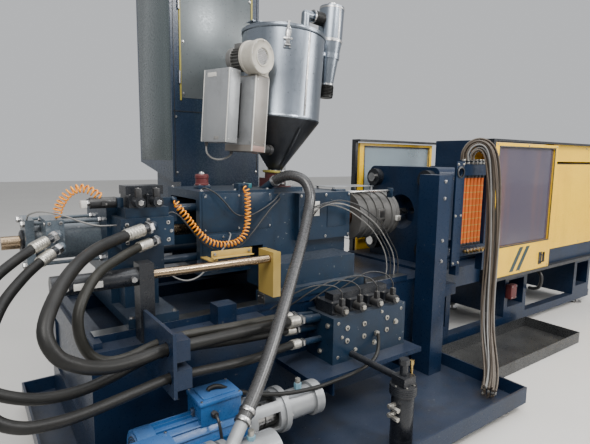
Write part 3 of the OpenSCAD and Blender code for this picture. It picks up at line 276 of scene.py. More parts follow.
# finishes
def newNode(tree, kind, x, y, **values):
    node = tree.nodes.new(kind)
    node.location = (x, y)
    for key, value in values.items():
        if hasattr(node, key):
            setattr(node, key, value)
        else:
            node.inputs[key].default_value = value
    return node


def feed(tree, value, socket):  # a constant or a link into a socket
    if isinstance(value, (int, float)):
        socket.default_value = value
    elif isinstance(value, tuple):
        socket.default_value = (*value, 1)
    else:
        tree.links.new(value, socket)


def blendColours(tree, factor, first, second, x, y):
    mix = newNode(tree, "ShaderNodeMix", x, y, data_type="RGBA")
    for value, socket in ((factor, mix.inputs[0]), (first, mix.inputs[6]), (second, mix.inputs[7])):
        feed(tree, value, socket)
    return mix.outputs[2]


def stretch(tree, source, low, high, x, y, outLow=0.0, outHigh=1.0):
    node = newNode(tree, "ShaderNodeMapRange", x, y)
    for value, socket in zip((source, low, high, outLow, outHigh), node.inputs):
        feed(tree, value, socket)
    return node.outputs[0]


def combine(tree, kind, a, b, x, y, **values):
    node = newNode(tree, "ShaderNodeMath", x, y, operation=kind, **values)
    feed(tree, a, node.inputs[0])
    feed(tree, b, node.inputs[1])
    return node.outputs[0]


noises = {  # scale, detail, roughness
    "clouds": (1.0, 6.0, 0.62), "fine": (90.0, 4.0, 0.6), "runs": (1.0, 5.0, 0.55), "spots": (3.1, 9.0, 0.72),
    "chips": (46.0, 3.0, 0.55)}
noiseEdges = {"clouds": (0.3, 0.75), "runs": (0.52, 0.74), "spots": (0.5, 0.72), "chips": (0.7, 0.73)}
dustFacing = {"start": 0.35, "end": 0.95}  # how far a face must look up before dust lies on it


def addNoise(tree, kind, place, y, grain=None, scale=None):
    if grain:
        spreading = newNode(tree, "ShaderNodeMapping", -1000, y)
        spreading.inputs["Scale"].default_value = grain if isinstance(grain, tuple) else (grain, grain, grain)
        tree.links.new(place, spreading.inputs[0])
        place = spreading.outputs[0]
    size, detail, rough = noises[kind]
    noise = newNode(tree, "ShaderNodeTexNoise", -780, y, Scale=scale or size, Detail=detail, Roughness=rough)
    tree.links.new(place, noise.inputs["Vector"])
    return noise.outputs[0]


def makeFinish(name, colour, second, metal=0.0, rough=(0.35, 0.6), grain=6.0, specular=0.5, coat=0.0,
               alpha=1.0, bump=0.15, bumpScale=90.0, wear=None, dust=None, dirt=None, streaksAndSheen=None):
    material = bpy.data.materials.new(name)  # wear, dust and dirt are (colour, amount) pairs
    material.use_nodes = True
    tree = material.node_tree
    tree.nodes.clear()
    out = newNode(tree, "ShaderNodeOutputMaterial", 1400, 0)
    shader = newNode(tree, "ShaderNodeBsdfPrincipled", 1100, 0)
    tree.links.new(shader.outputs[0], out.inputs[0])
    place = newNode(tree, "ShaderNodeTexCoord", -1200, 0).outputs["Object"]
    clouds = addNoise(tree, "clouds", place, 200, grain)
    fine = addNoise(tree, "fine", place, -60, scale=bumpScale)
    clouded = stretch(tree, clouds, *noiseEdges["clouds"], -560, 240)
    shade = blendColours(tree, clouded, colour, second, -360, 260)
    if streaksAndSheen:  # runs and smears drawn out along the height; on the cabinet paints they are painted sheen, on the hopper steel painted reflection
        tone, drawn, amount = streaksAndSheen
        runs = addNoise(tree, "runs", place, 520, drawn)
        runs = stretch(tree, runs, *noiseEdges["runs"], -560, 520, 0, amount)
        shade = blendColours(tree, runs, shade, tone, -160, 420)
    if dirt:
        spots = addNoise(tree, "spots", place, -300)
        spots = stretch(tree, spots, *noiseEdges["spots"], -560, -300, 0, dirt[1])
        shade = blendColours(tree, spots, shade, dirt[0], 0, 320)
    if wear:  # small chips in the paint
        chips = addNoise(tree, "chips", place, -560)
        chips = stretch(tree, chips, *noiseEdges["chips"], -560, -560, 0, wear[1])
        shade = blendColours(tree, chips, shade, wear[0], 180, 300)
    roughness = stretch(tree, fine, 0.3, 0.7, -360, -80, *rough)
    if dust:  # it lies on what faces up
        parts = newNode(tree, "ShaderNodeSeparateXYZ", -780, -800)
        tree.links.new(newNode(tree, "ShaderNodeNewGeometry", -1200, -420).outputs["Normal"], parts.inputs[0])
        up = stretch(tree, parts.outputs[2], dustFacing["start"], dustFacing["end"], -560, -800)
        patches = stretch(tree, clouds, 0.3, 0.66, -560, -960, 0.35, 1)
        lying = combine(tree, "MULTIPLY", up, patches, -360, -840)
        lying = combine(tree, "MULTIPLY", lying, dust[1], -180, -840)
        shade = blendColours(tree, lying, shade, dust[0], 360, 280)
        duller = combine(tree, "MULTIPLY", lying, 0.35, -160, -360)
        roughness = combine(tree, "ADD", roughness, duller, 0, -300, use_clamp=True)
    relief = newNode(tree, "ShaderNodeBump", 800, -300, Strength=bump, Distance=0.002)
    tree.links.new(fine, relief.inputs["Height"])
    for socket, value in (("Base Color", shade), ("Roughness", roughness), ("Normal", relief.outputs[0]),
            ("Metallic", metal), ("Specular IOR Level", specular), ("Coat Weight", coat),
            ("Coat Roughness", 0.2), ("Alpha", alpha)):
        feed(tree, value, shader.inputs[socket])
    return material


def zoned(finish, name, zones, colour, metal, rough):  # a second paint inside a box of the object's own place
    made = finish.copy()
    made.name = name
    tree = made.node_tree
    shader = next(n for n in tree.nodes if n.type == "BSDF_PRINCIPLED")
    parts = newNode(tree, "ShaderNodeSeparateXYZ", -700, 900)
    tree.links.new(newNode(tree, "ShaderNodeTexCoord", -900, 900).outputs["Object"], parts.inputs[0])
    mask = 1.0
    for axis, low, high in zones:  # both sides of the machine count for Y
        size = combine(tree, "ABSOLUTE" if axis == "Y" else "ADD", parts.outputs[axis], 0.0, -520, 900)
        for kind, edge in (("GREATER_THAN", low), ("LESS_THAN", high)):
            mask = combine(tree, "MULTIPLY", mask, combine(tree, kind, size, edge, -360, 900), -200, 900)
    for socket, value in (("Base Color", colour), ("Metallic", metal), ("Roughness", rough)):
        target = shader.inputs[socket]
        source = target.links[0].from_socket if target.links else target.default_value
        if socket == "Base Color":
            mixed = blendColours(tree, mask, source, value, 500, 900)
        else:
            mix = newNode(tree, "ShaderNodeMix", 500, 700, data_type="FLOAT")
            for given, entry in ((mask, mix.inputs[0]), (source, mix.inputs[2]), (value, mix.inputs[3])):
                feed(tree, given, entry)
            mixed = mix.outputs[0]
        tree.links.new(mixed, target)
    return made


dustTone = (0.3, 0.28, 0.25)
deepBlue = makeFinish("deep blue paint", (0.003, 0.012, 0.034), (0.006, 0.019, 0.048), rough=(0.24, 0.42),
    grain=2.3, specular=0.35, bump=0.06, wear=((0.12, 0.12, 0.12), 0.5), dust=(dustTone, 0.1),
    dirt=((0.006, 0.006, 0.007), 0.5), streaksAndSheen=((0.005, 0.008, 0.013), (7, 7, 0.8), 0.5))
blockBlue = makeFinish("block blue paint", (0.004, 0.015, 0.034), (0.008, 0.024, 0.048), rough=(0.26, 0.45),
    grain=4, specular=0.35, bump=0.12, bumpScale=60, wear=((0.22, 0.22, 0.21), 0.6), dust=(dustTone, 0.14),
    dirt=((0.007, 0.008, 0.009), 0.6))
brightBlue = makeFinish("bright blue paint", (0.014, 0.085, 0.25), (0.02, 0.11, 0.3), rough=(0.22, 0.4),
    grain=5, bump=0.06, wear=((0.4, 0.4, 0.4), 0.4), dust=(dustTone, 0.12), dirt=((0.006, 0.012, 0.025), 0.4))
oilyBlack = makeFinish("oily dark paint", (0.007, 0.008, 0.011), (0.014, 0.016, 0.02), rough=(0.2, 0.45),
    grain=9, bump=0.12, wear=((0.12, 0.12, 0.11), 0.5), dust=((0.12, 0.115, 0.11), 0.12))
guardYellow = makeFinish("guard yellow paint", (0.92, 0.56, 0), (0.86, 0.49, 0), rough=(0.22, 0.38), grain=2,
    coat=0.2, bump=0.03, wear=((0.25, 0.2, 0.1), 0.4), dust=((0.6, 0.42, 0.04), 0.12),
    dirt=((0.5, 0.27, 0), 0.3), streaksAndSheen=((0.52, 0.26, 0.006), (9, 9, 0.7), 0.3))
violetPane = makeFinish("violet window", (0.06, 0.052, 0.082), (0.085, 0.07, 0.095), rough=(0.05, 0.16),
    grain=3, coat=0.4, alpha=0.9, bump=0.01, streaksAndSheen=((0.26, 0.1, 0.03), (5, 5, 0.4), 0.35))
bluishPane = makeFinish("bluish window", (0.2, 0.27, 0.31), (0.25, 0.32, 0.36), rough=(0.05, 0.16), grain=3,
    coat=0.4, alpha=0.6, bump=0.01)
bareSteel = makeFinish("bare steel", (0.5, 0.5, 0.5), (0.36, 0.35, 0.34), metal=1, rough=(0.22, 0.42),
    grain=12, bump=0.08, dirt=((0.1, 0.08, 0.06), 0.4))
chromeRod = makeFinish("chromed rod", (0.66, 0.65, 0.64), (0.54, 0.53, 0.51), metal=1, rough=(0.08, 0.2),
    grain=14, bump=0.02, dirt=((0.22, 0.19, 0.15), 0.3))
# brushed steel of the hopper; its darker vertical streaks are painted reflection
hopperSteel = makeFinish("brushed hopper steel", (0.25, 0.28, 0.32), (0.22, 0.25, 0.29), metal=1,
    rough=(0.27, 0.33), grain=(1.4, 1.4, 9), bump=0.006, bumpScale=60, dirt=((0.12, 0.13, 0.14), 0.3),
    streaksAndSheen=((0.1, 0.115, 0.13), (7, 7, 0.5), 0.6))
# a much darker copy of the hopper steel for the downward-facing cone: painted shade
shadedConeSteel = makeFinish("dull cone steel with painted shade", (0.055, 0.06, 0.07), (0.085, 0.09, 0.1), metal=0.9,
    rough=(0.3, 0.46), grain=(1.6, 1.6, 9), bump=0.05, dirt=((0.02, 0.02, 0.02), 0.5))
palePaint = makeFinish("light grey paint", (0.3, 0.31, 0.32), (0.25, 0.26, 0.27), metal=0.35,
    rough=(0.3, 0.45), grain=4, bump=0.04, wear=((0.1, 0.1, 0.1), 0.4), dust=((0.3, 0.29, 0.27), 0.15),
    dirt=((0.08, 0.08, 0.08), 0.4), streaksAndSheen=((0.12, 0.12, 0.12), (11, 11, 1.1), 0.5))
warmGrey = makeFinish("warm grey paint", (0.24, 0.225, 0.205), (0.19, 0.18, 0.165), metal=0.3,
    rough=(0.3, 0.46), grain=3, bump=0.04, wear=((0.1, 0.1, 0.1), 0.3), dust=((0.3, 0.28, 0.25), 0.15),
    dirt=((0.16, 0.1, 0.08), 0.4), streaksAndSheen=((0.12, 0.09, 0.08), (8, 8, 0.8), 0.5))
creamPaint = makeFinish("cream blower paint", (0.46, 0.43, 0.37), (0.38, 0.36, 0.31), rough=(0.32, 0.5),
    grain=6, bump=0.06, wear=((0.2, 0.18, 0.15), 0.4), dust=((0.22, 0.2, 0.18), 0.2),
    dirt=((0.14, 0.12, 0.1), 0.5))
castGrey = makeFinish("ribbed grey casting", (0.1, 0.1, 0.098), (0.145, 0.142, 0.136), metal=0.3,
    rough=(0.4, 0.62), grain=7, bump=0.3, bumpScale=45, dust=((0.3, 0.28, 0.25), 0.25),
    dirt=((0.03, 0.028, 0.025), 0.6))
redPaint = makeFinish("worn red paint", (0.085, 0.01, 0.012), (0.11, 0.02, 0.02), rough=(0.36, 0.6), grain=8,
    bump=0.1, wear=((0.2, 0.19, 0.18), 0.5), dust=(dustTone, 0.15), dirt=((0.02, 0.01, 0.01), 0.6))
redPlastic = makeFinish("red plastic", (0.45, 0.02, 0.016), (0.5, 0.03, 0.02), rough=(0.25, 0.38), grain=6,
    bump=0.03)
blackPlastic = makeFinish("black plastic", (0.014, 0.014, 0.015), (0.022, 0.022, 0.023), rough=(0.3, 0.5),
    grain=12, bump=0.15, dust=((0.2, 0.19, 0.17), 0.3))
whitePlastic = makeFinish("white plastic", (0.62, 0.61, 0.57), (0.5, 0.49, 0.46), rough=(0.3, 0.5), grain=9,
    bump=0.05, dirt=((0.25, 0.22, 0.18), 0.4))
blackRubber = makeFinish("black hose rubber", (0.006, 0.006, 0.006), (0.012, 0.012, 0.011), rough=(0.34, 0.5),
    grain=9, specular=0.28, bump=0.2, bumpScale=260, dust=((0.08, 0.076, 0.07), 0.14),
    dirt=((0.03, 0.028, 0.026), 0.4))
oliveRubber = makeFinish("olive hose rubber", (0.01, 0.01, 0.008), (0.018, 0.017, 0.014), rough=(0.34, 0.52),
    grain=9, specular=0.28, bump=0.2, bumpScale=260, dust=((0.12, 0.115, 0.1), 0.25))
greyRubber = makeFinish("grey ribbed hose", (0.03, 0.03, 0.031), (0.045, 0.045, 0.046), rough=(0.2, 0.34),
    grain=8, bump=0.05, dust=((0.12, 0.115, 0.105), 0.08))
brownRubber = makeFinish("dusty brown hose", (0.06, 0.044, 0.031), (0.095, 0.075, 0.056), rough=(0.38, 0.58),
    grain=12, bump=0.15, bumpScale=200, dust=((0.22, 0.2, 0.17), 0.25))
orangeLine = makeFinish("orange coiled line", (0.85, 0.36, 0.01), (0.75, 0.22, 0.01), rough=(0.22, 0.36),
    grain=30, coat=0.3, bump=0.04)
cableGrey = makeFinish("grey cable", (0.16, 0.155, 0.15), (0.22, 0.215, 0.2), rough=(0.35, 0.5), grain=20,
    bump=0.1)
cableBlack = makeFinish("black cable", (0.018, 0.018, 0.019), (0.03, 0.03, 0.03), rough=(0.32, 0.48),
    grain=20, bump=0.1)
zincPlate = makeFinish("zinc plated ferrule", (0.52, 0.5, 0.45), (0.4, 0.385, 0.34), metal=0.85,
    rough=(0.3, 0.48), grain=30, bump=0.15, dirt=((0.16, 0.14, 0.11), 0.55))
bronzeRod = makeFinish("bronze toned rod", (0.46, 0.34, 0.22), (0.34, 0.25, 0.16), metal=1, rough=(0.14, 0.3),
    grain=10, bump=0.05, dirt=((0.12, 0.08, 0.05), 0.5))
copperBand = makeFinish("copper band", (0.42, 0.2, 0.1), (0.3, 0.14, 0.08), metal=1, rough=(0.3, 0.5),
    grain=12, bump=0.1, dirt=((0.1, 0.06, 0.04), 0.5))
brassPart = makeFinish("brass fitting", (0.5, 0.36, 0.14), (0.4, 0.28, 0.11), metal=1, rough=(0.2, 0.4),
    grain=20, bump=0.08, dirt=((0.12, 0.09, 0.05), 0.5))
pinkHose = makeFinish("pinkish brown cuff", (0.3, 0.19, 0.16), (0.22, 0.14, 0.12), rough=(0.45, 0.65),
    grain=9, bump=0.2, dust=(dustTone, 0.3))
oliveYellow = makeFinish("olive yellow ring", (0.34, 0.29, 0.05), (0.26, 0.22, 0.05), rough=(0.4, 0.6),
    grain=12, bump=0.1)
tealPaint = makeFinish("teal paint", (0.03, 0.14, 0.16), (0.04, 0.18, 0.2), rough=(0.3, 0.5), grain=8,
    bump=0.1, dust=(dustTone, 0.2))
angleYellow = makeFinish("dull yellow arm", (0.5, 0.34, 0.09), (0.42, 0.27, 0.07), rough=(0.35, 0.55),
    grain=9, bump=0.12, wear=((0.3, 0.28, 0.25), 0.5), dirt=((0.15, 0.1, 0.04), 0.5))
clampBlue = makeFinish("light blue clamp", (0.12, 0.24, 0.31), (0.16, 0.29, 0.36), rough=(0.28, 0.46),
    grain=9, bump=0.15, wear=((0.4, 0.4, 0.4), 0.7), dust=(dustTone, 0.3), dirt=((0.03, 0.05, 0.07), 0.5))
sheetDark = makeFinish("oil stained tray", (0.03, 0.032, 0.034), (0.055, 0.056, 0.056), metal=0.3,
    rough=(0.16, 0.4), grain=4, bump=0.05, dust=((0.2, 0.19, 0.17), 0.15), dirt=((0.012, 0.011, 0.01), 0.7))
# dark blue cabinet paint; its pale grey green streaks are painted sheen
cabinetBlue = makeFinish("cabinet blue paint", (0.01, 0.02, 0.04), (0.014, 0.027, 0.05), rough=(0.2, 0.34),
    grain=1.5, bump=0.02, wear=((0.1, 0.1, 0.1), 0.3), dust=(dustTone, 0.1),
    dirt=((0.008, 0.011, 0.015), 0.4), streaksAndSheen=((0.045, 0.062, 0.06), (6, 6, 0.5), 0.25))
cabinetGrey = makeFinish("grey cabinet panel", (0.125, 0.14, 0.145), (0.1, 0.115, 0.12), metal=0.4,
    rough=(0.26, 0.4), grain=2, bump=0.02, dust=(dustTone, 0.1),
    streaksAndSheen=((0.07, 0.078, 0.08), (7, 7, 0.5), 0.5))
# a lighter grey green finish for the cabinet's end face: painted sheen, and its paler streaks are painted
# sheen too
paintedSheenGreen = makeFinish("painted grey green sheen on the cabinet end", (0.055, 0.075, 0.078), (0.045, 0.062, 0.066), metal=0.3,
    rough=(0.2, 0.34), grain=1.5, bump=0.02, streaksAndSheen=((0.11, 0.13, 0.13), (5, 5, 0.4), 0.4))
tubeGrey = makeFinish("blue grey cylinder paint", (0.075, 0.095, 0.115), (0.1, 0.125, 0.145),
    rough=(0.2, 0.36), grain=5, bump=0.05, wear=((0.3, 0.3, 0.3), 0.5), dust=(dustTone, 0.12),
    dirt=((0.02, 0.022, 0.025), 0.6))
print("finishes made")

# camera, light and floor
view = {"place": (-3.35, -2.75, 0.45), "yaw": 35.6, "pitch": 7.83, "roll": 0.78, "lens": 28.43}
yaw, pitch, roll = (math.radians(view[k]) for k in ("yaw", "pitch", "roll"))
look = Vector((math.sin(yaw) * math.cos(pitch), math.cos(yaw) * math.cos(pitch), -math.sin(pitch)))
level = Vector((math.cos(yaw), -math.sin(yaw), 0))
overhead = level.cross(look)
right = level * math.cos(roll) + overhead * math.sin(roll)
top = overhead * math.cos(roll) - level * math.sin(roll)
cameraData = bpy.data.cameras.new("camera")
camera = bpy.data.objects.new("camera", cameraData)
bpy.context.scene.collection.objects.link(camera)
cameraData.lens, cameraData.sensor_width, cameraData.clip_end = view["lens"], 36, 100
camera.matrix_world = Matrix.Translation(view["place"]) @ Matrix((right, top, -look)).transposed().to_4x4()
bpy.context.scene.camera = camera

lamps = {  # place, target, size, power, colour
    "key": ((-5.2, -4.6, 5.4), (-1.2, 0.0, 0.0), 4.0, 620, (1.0, 0.98, 0.95)),
    "sky": ((0.5, 0.2, 7.5), (0.0, 0.0, 0.0), 7.0, 420, (0.93, 0.96, 1.0)),
    "side": ((3.8, -5.0, 2.6), (0.8, -0.4, 0.0), 3.0, 300, (1.0, 0.98, 0.95)),
    "strip": ((-0.3, -3.6, 3.4), (-1.5, 0.0, 0.9), 0.8, 120, (1.0, 1.0, 1.0)),
}
for lampName, (place, target, size, power, colour) in lamps.items():
    lampData = bpy.data.lights.new(lampName, "AREA")
    lampData.size, lampData.energy, lampData.color = size, power, colour
    lamp = bpy.data.objects.new(lampName, lampData)
    bpy.context.scene.collection.objects.link(lamp)
    lamp.matrix_world = Matrix.Translation(place) @ turnTo(Vector(place) - Vector(target))
world = bpy.data.worlds.new("studio")
bpy.context.scene.world = world
world.use_nodes = True
world.node_tree.nodes["Background"].inputs[0].default_value = (0.93, 0.95, 0.98, 1)
world.node_tree.nodes["Background"].inputs[1].default_value = 0.66

bm = bmesh.new()
bmesh.ops.create_grid(bm, x_segments=1, y_segments=1, size=30,
    matrix=Matrix.Translation((0, 0, floorLevel - 0.001)))
floorFinish = makeFinish("pale floor", (0.6, 0.585, 0.555), (0.56, 0.545, 0.515), rough=(0.6, 0.8), bump=0.1,
    grain=1.1)
floor = finishPiece(bm, "floor", None, None, [floorFinish])
print("camera, light and floor placed")


# hoses and lines
def finishCord(line, name, radius, finish, body, slot, node=None, bend=None, sides=16):
    if bend:  # a mesh, because it bends between the bed and the carriage
        bm = bmesh.new()
        addPipe(bm, line, radius, sides=sides)
        piece = finishPiece(bm, name, None, slot, [finish])
        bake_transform(piece)
    else:
        curve = bpy.data.curves.new(name, "CURVE")
        curve.dimensions, curve.bevel_depth, curve.bevel_resolution = "3D", radius, 3
        curve.use_fill_caps = True
        spline = curve.splines.new("POLY")
        spline.points.add(len(line) - 1)
        for point, place in zip(spline.points, line):
            point.co = (*place, 1)
        spline.use_smooth = True
        curve.materials.append(finish)
        piece = bpy.data.objects.new(name, curve)
        bpy.context.scene.collection.objects.link(piece)
        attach(piece, body)
    if node:
        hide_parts(node)
    tuple(line[0])
    round(pathLength(line), 3)
    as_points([tuple(p) for p in line] if bend else None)


pressureHoses = {  # route in millimetres, radius, finish, heights between which it bends
    "hose_main": ([
        (-2640, -470, 90), (-2700, -492, 78), (-2780, -535, 64), (-2894, -630, 44),
        (-2998, -750, 8), (-3090, -880, -60), (-3150, -985, -155), (-3125, -1025, -240),
        (-3062, -1022, -292), (-2992, -1000, -329), (-2903, -968, -354), (-2801, -930, -363),
        (-2700, -906, -363), (-2580, -904, -365), (-2371, -870, -379), (-2134, -805, -408),
        (-2000, -755, -432), (-1860, -700, -462)], 0.027, blackRubber, (-0.3, 0.02)),
    "hose_feed": ([
        (-2600, -455, 18), (-2680, -498, 5), (-2786, -580, -18), (-2897, -680, -50),
        (-2970, -765, -105), (-3010, -810, -175), (-3012, -825, -255), (-2988, -822, -330),
        (-2945, -818, -378), (-2885, -810, -402), (-2810, -800, -402), (-2724, -788, -386),
        (-2640, -780, -374), (-2562, -774, -372), (-2453, -760, -380), (-2292, -735, -397),
        (-2103, -690, -420), (-1960, -652, -440), (-1850, -616, -463)], 0.022, oliveRubber, (-0.34, -0.03)),
    "hose_upper": ([
        (-3050, -370, 56), (-3110, -404, 32), (-3180, -462, 0), (-3268, -565, -45),
        (-3350, -690, -110), (-3400, -800, -200), (-3390, -880, -290), (-3325, -925, -355),
        (-3237, -945, -400), (-3148, -942, -427), (-3030, -920, -440), (-2912, -890, -431),
        (-2815, -862, -415), (-2700, -842, -400), (-2580, -838, -402), (-2335, -800, -440),
        (-2121, -745, -478), (-1960, -690, -510), (-1850, -650, -536)], 0.022, blackRubber, (-0.37, -0.01)),
    "hose_lower": ([
        (-3035, -395, 0), (-3095, -450, -28), (-3172, -560, -64), (-3258, -705, -125),
        (-3322, -870, -215), (-3350, -975, -315), (-3322, -1035, -403), (-3245, -1050, -455),
        (-3143, -1040, -476), (-3037, -1020, -483), (-2853, -970, -484), (-2700, -932, -482),
        (-2580, -926, -488), (-2269, -870, -529), (-2103, -812, -548), (-1961, -760, -568),
        (-1865, -722, -588)], 0.022, blackRubber, (-0.43, -0.06)),
    "hose_suction": ([
        (-1690, -180, 290), (-1672, -230, 320), (-1640, -310, 340), (-1596, -390, 310),
        (-1590, -450, 230), (-1640, -500, 130), (-1740, -590, 5), (-1878, -700, -150),
        (-2030, -820, -310), (-2190, -945, -465), (-2330, -1045, -585), (-2450, -1122, -675)], 0.033,
        greyRubber, (-0.56, 0.2)),
}
hoseLines = {}
for hoseName, (route, radius, finish, bend) in pressureHoses.items():
    hoseLines[hoseName] = smoothPath(metres(route), 6)
    finishCord(hoseLines[hoseName], hoseName + "_rubber", radius, finish, None,
        "grey_rubber" if "suction" in hoseName else "black_rubber", node=hoseName, bend=bend)


def helix(line, radius, pitch, perTurn=12, fade=0.02):  # a coiled line, its ends drawn in to its path
    total = pathLength(line)
    frames = pathFrames(line)
    steps, points = int(total / pitch * perTurn), []
    marks = [0.0]
    for a, b in zip(line, line[1:]):
        marks.append(marks[-1] + (b - a).length)
    i = 0
    for k in range(steps + 1):
        along = total * k / steps
        while i < len(line) - 2 and marks[i + 1] < along:
            i += 1
        t = (along - marks[i]) / (marks[i + 1] - marks[i])
        centre = line[i].lerp(line[i + 1], t)
        way = frames[i][0].lerp(frames[i + 1][0], t).normalized()
        side = frames[i][1].lerp(frames[i + 1][1], t)
        side = (side - way * side.dot(way)).normalized()
        turn = 2 * math.pi * k / perTurn
        reach = radius * min(1, along / fade, (total - along) / fade)
        points.append(centre + (side * math.cos(turn) + way.cross(side) * math.sin(turn)) * reach)
    return points


coilLine = {"tube": 0.0042, "coil": 0.0165, "pitch": 0.0225}
route = metres([
    (-2400, -276, 205), (-2396, -292, 192), (-2380, -302, 162), (-2345, -304, 120), (-2310, -308, 70),
    (-2268, -316, 15), (-2210, -325, -35), (-2140, -330, -55), (-2060, -330, -55), (-1995, -322, -25),
    (-1962, -310, 30), (-1950, -302, 100), (-1948, -296, 170), (-1948, -292, 225), (-1950, -282, 258),
    (-1952, -260, 272)])
finishCord(helix(smoothPath(route, 6), coilLine["coil"], coilLine["pitch"]), "coiled_air_line_turns",
    coilLine["tube"], orangeLine, "carriage", "orange_line", node="coiled_air_line")
print("pressure hoses and coiled line laid")

# water hoses: thick ones from the top bar and thin ones from the taps, gathered into one fall
bundle = smoothPath(metres([
    (-305, -670, 451), (-305, -670, 472), (-305, -672, 498), (-292, -694, 542), (-268, -736, 564),
    (-244, -778, 542), (-228, -806, 480), (-205, -815, 370), (-185, -820, 230), (-172, -822, 79),
    (-165, -825, -100), (-172, -830, -300), (-200, -845, -500), (-235, -870, -655), (-295, -920, -800),
    (-365, -985, -908), (-445, -1050, -978), (-530, -1105, -1028), (-620, -1150, -1057)]), 2)
bundleFrames = pathFrames(bundle)
bundleSwing = {"turn": 0.25, "pace": 0.32, "start": 8}
waterHoses = metres([  # place in the bundle's cross section, radius
    (0, 0, 9.5), (24, 2, 9.5), (-23, 6, 9.5), (10, 24, 9.5), (-12, 27, 9.5), (5, -24, 9.5), (-20, -20, 6),
    (28, -20, 6), (36, 16, 6), (-36, -10, 6), (-34, 24, 6), (26, 36, 6), (2, 45, 6), (-24, 42, 6),
    (-10, -42, 6), (18, -40, 6), (44, -8, 6), (-36, -34, 6)])
for i, (u, v, radius) in enumerate(waterHoses):
    line = []
    for k, point in enumerate(bundle):
        way, side, up = bundleFrames[k]
        swing = bundleSwing["turn"] * math.sin(k * bundleSwing["pace"] + i) * min(1, k / bundleSwing["start"])
        across, along = math.cos(swing), math.sin(swing)
        line.append(point + side * (u * across - v * along) + up * (u * along + v * across))
    line = smoothPath(line, 2)
    finishCord(line, "water_hose_%02d" % (i + 1), radius, brownRubber if i % 3 else cableGrey, "frame",
        "brown_rubber", node="water_hoses")
print("water hoses laid")

# the dryer, modelled upright round its own axis and then leaned into place
dryer = {"lean": 4, "turn": 16, "radius": 280, "seamAngle": -87, "latchAngle": -118, "inlet": 1110}
dryerLean = Matrix.Rotation(math.radians(dryer["lean"]), 4, "Y")
dryerPlace = machinePlace @ Matrix.Translation((-1560, 0, 1550)) @ dryerLean
boxPlace = dryerPlace @ Matrix.Rotation(math.radians(dryer["turn"]), 4, "Z")

shape = Shape("hopper_shell", "carriage", "dryer_steel", hopperSteel, dryerPlace)
r = dryer["radius"]
shape.turned([(42, 0), (82, 0), (82, 8), (50, 10), (47, 16), (r - 2, 350), (r + 1, 354), (r + 3, 360),
    (r + 1, 366), (r, 370), (r, 620), (r, 898), (r + 6, 902), (r + 9, 910), (r + 8, 919), (r - 2, 920),
    (r - 4, 914), (r - 4, 361), (42, 14), (42, 0)], sides=96)
# the cone below the cylinder, and its seam, take the darker steel: painted shade of the downward-facing cone
shape.finishes.append(shadedConeSteel)
for face in shape.bm.faces:
    if face.calc_center_median().z < 352:
        face.material_index = 1
seam = Matrix.Rotation(math.radians(dryer["seamAngle"]), 4, "Z")
shape.block((r - 1, -9, 372), (r + 1.5, 9, 896), 0.8, turn=seam, finish=bareSteel)
shape.block((50, -6, 20), (52, 6, 370), 0.6, finish=shadedConeSteel,
    turn=seam @ Matrix.Translation((0, 0, 12)) @ Matrix.Rotation(math.radians(34.2), 4, "Y"))
latch = Matrix.Rotation(math.radians(dryer["latchAngle"]), 4, "Z")
shape.block((r - 1, -24, 770), (r + 6, 24, 840), 2, turn=latch)
for y in (-17, 17):
    for z in (778, 832):
        shape.rod((r + 5, y, z), (r + 8, y, z), 4, bareSteel, sides=12, turn=latch)
shape.block((r - 4, -50, 850), (334, 50, 876), 2)
shape.turned([(74.5, 845), (79.5, 845), (81.5, 881), (76.5, 881)], at=(400, 0, 0), sides=48)
shape.bolts(circle((0, 0, 8), "XY", 68, range(0, 360, 30)), toTop, 6, bareSteel)
shape.done("hopper_body")

# lid cuff, cyclone bands and cuffs
shape = Shape("cyclone_bands_and_cuffs", "carriage", "dryer_steel", bareSteel, dryerPlace)
sideways = Matrix.Translation((226, 0, dryer["inlet"])) @ Matrix.Rotation(math.radians(90), 4, "Y")
shape.turned(ribs(43, 46.5, 10, 12.5, 7), turn=sideways, sides=40, finish=blackRubber)
for start in (2, 98):
    shape.band(39, 46, start, start + 10, turn=sideways)
for z, width, reach in ((960, 20, 92), (1190, 12, 92), (660, 10, 52)):
    shape.band(reach - 4, reach, z, z + width, at=(400, 0, 0))
for start, end in zip(*(circle((400, 0, 970), "XY", reach, range(0, 360, 24)) for reach in (91, 94.5))):
    shape.rod(start, end, 3.4, sides=8)
shape.turned(ribs(50.5, 56, 584, 10.5, 7), at=(400, 0, 0), sides=40, finish=blackRubber)
shape.turned([(0, 570), (47, 570), (52.5, 574), (52.5, 592), (50, 594)], at=(400, 0, 0), sides=32,
    finish=blackRubber)
shape.turned([(0, 1241.5), (30, 1241.5), (32, 1239), (32, 1222), (30.5, 1220)], at=(400, 0, 0), sides=32)
shape.block((398, -92.5, 970), (410, -90, 1205), 0.6)
shape.rod((170, 0, 945), (170, 0, 953), 45, sides=40)
shape.bolts(circle((170, 0, 953), "XY", 37, range(0, 360, 60)), toTop, 4)
shape.done()

# ring and cross plate of the toggle latch
shape = Shape("lid_latch_ring", "latch", "bare_steel", bareSteel, dryerPlace)
shape.block((r + 16, -30, 820), (r + 20, 30, 832), 1.5, turn=latch)
latchRing = {"width": 16, "height": 45, "middle": 862}
ring = []
for angle in range(0, 375, 15):
    a = math.radians(angle)
    place = (r + 13, latchRing["width"] * math.cos(a),
        latchRing["middle"] + latchRing["height"] * math.sin(a))
    ring.append(latch @ Vector(place))
shape.pipe(ring, 2.2, sides=8)
shape.block((r + 15, -9, 796), (r + 19, 9, 880), 1.5, turn=latch)
shape.done()


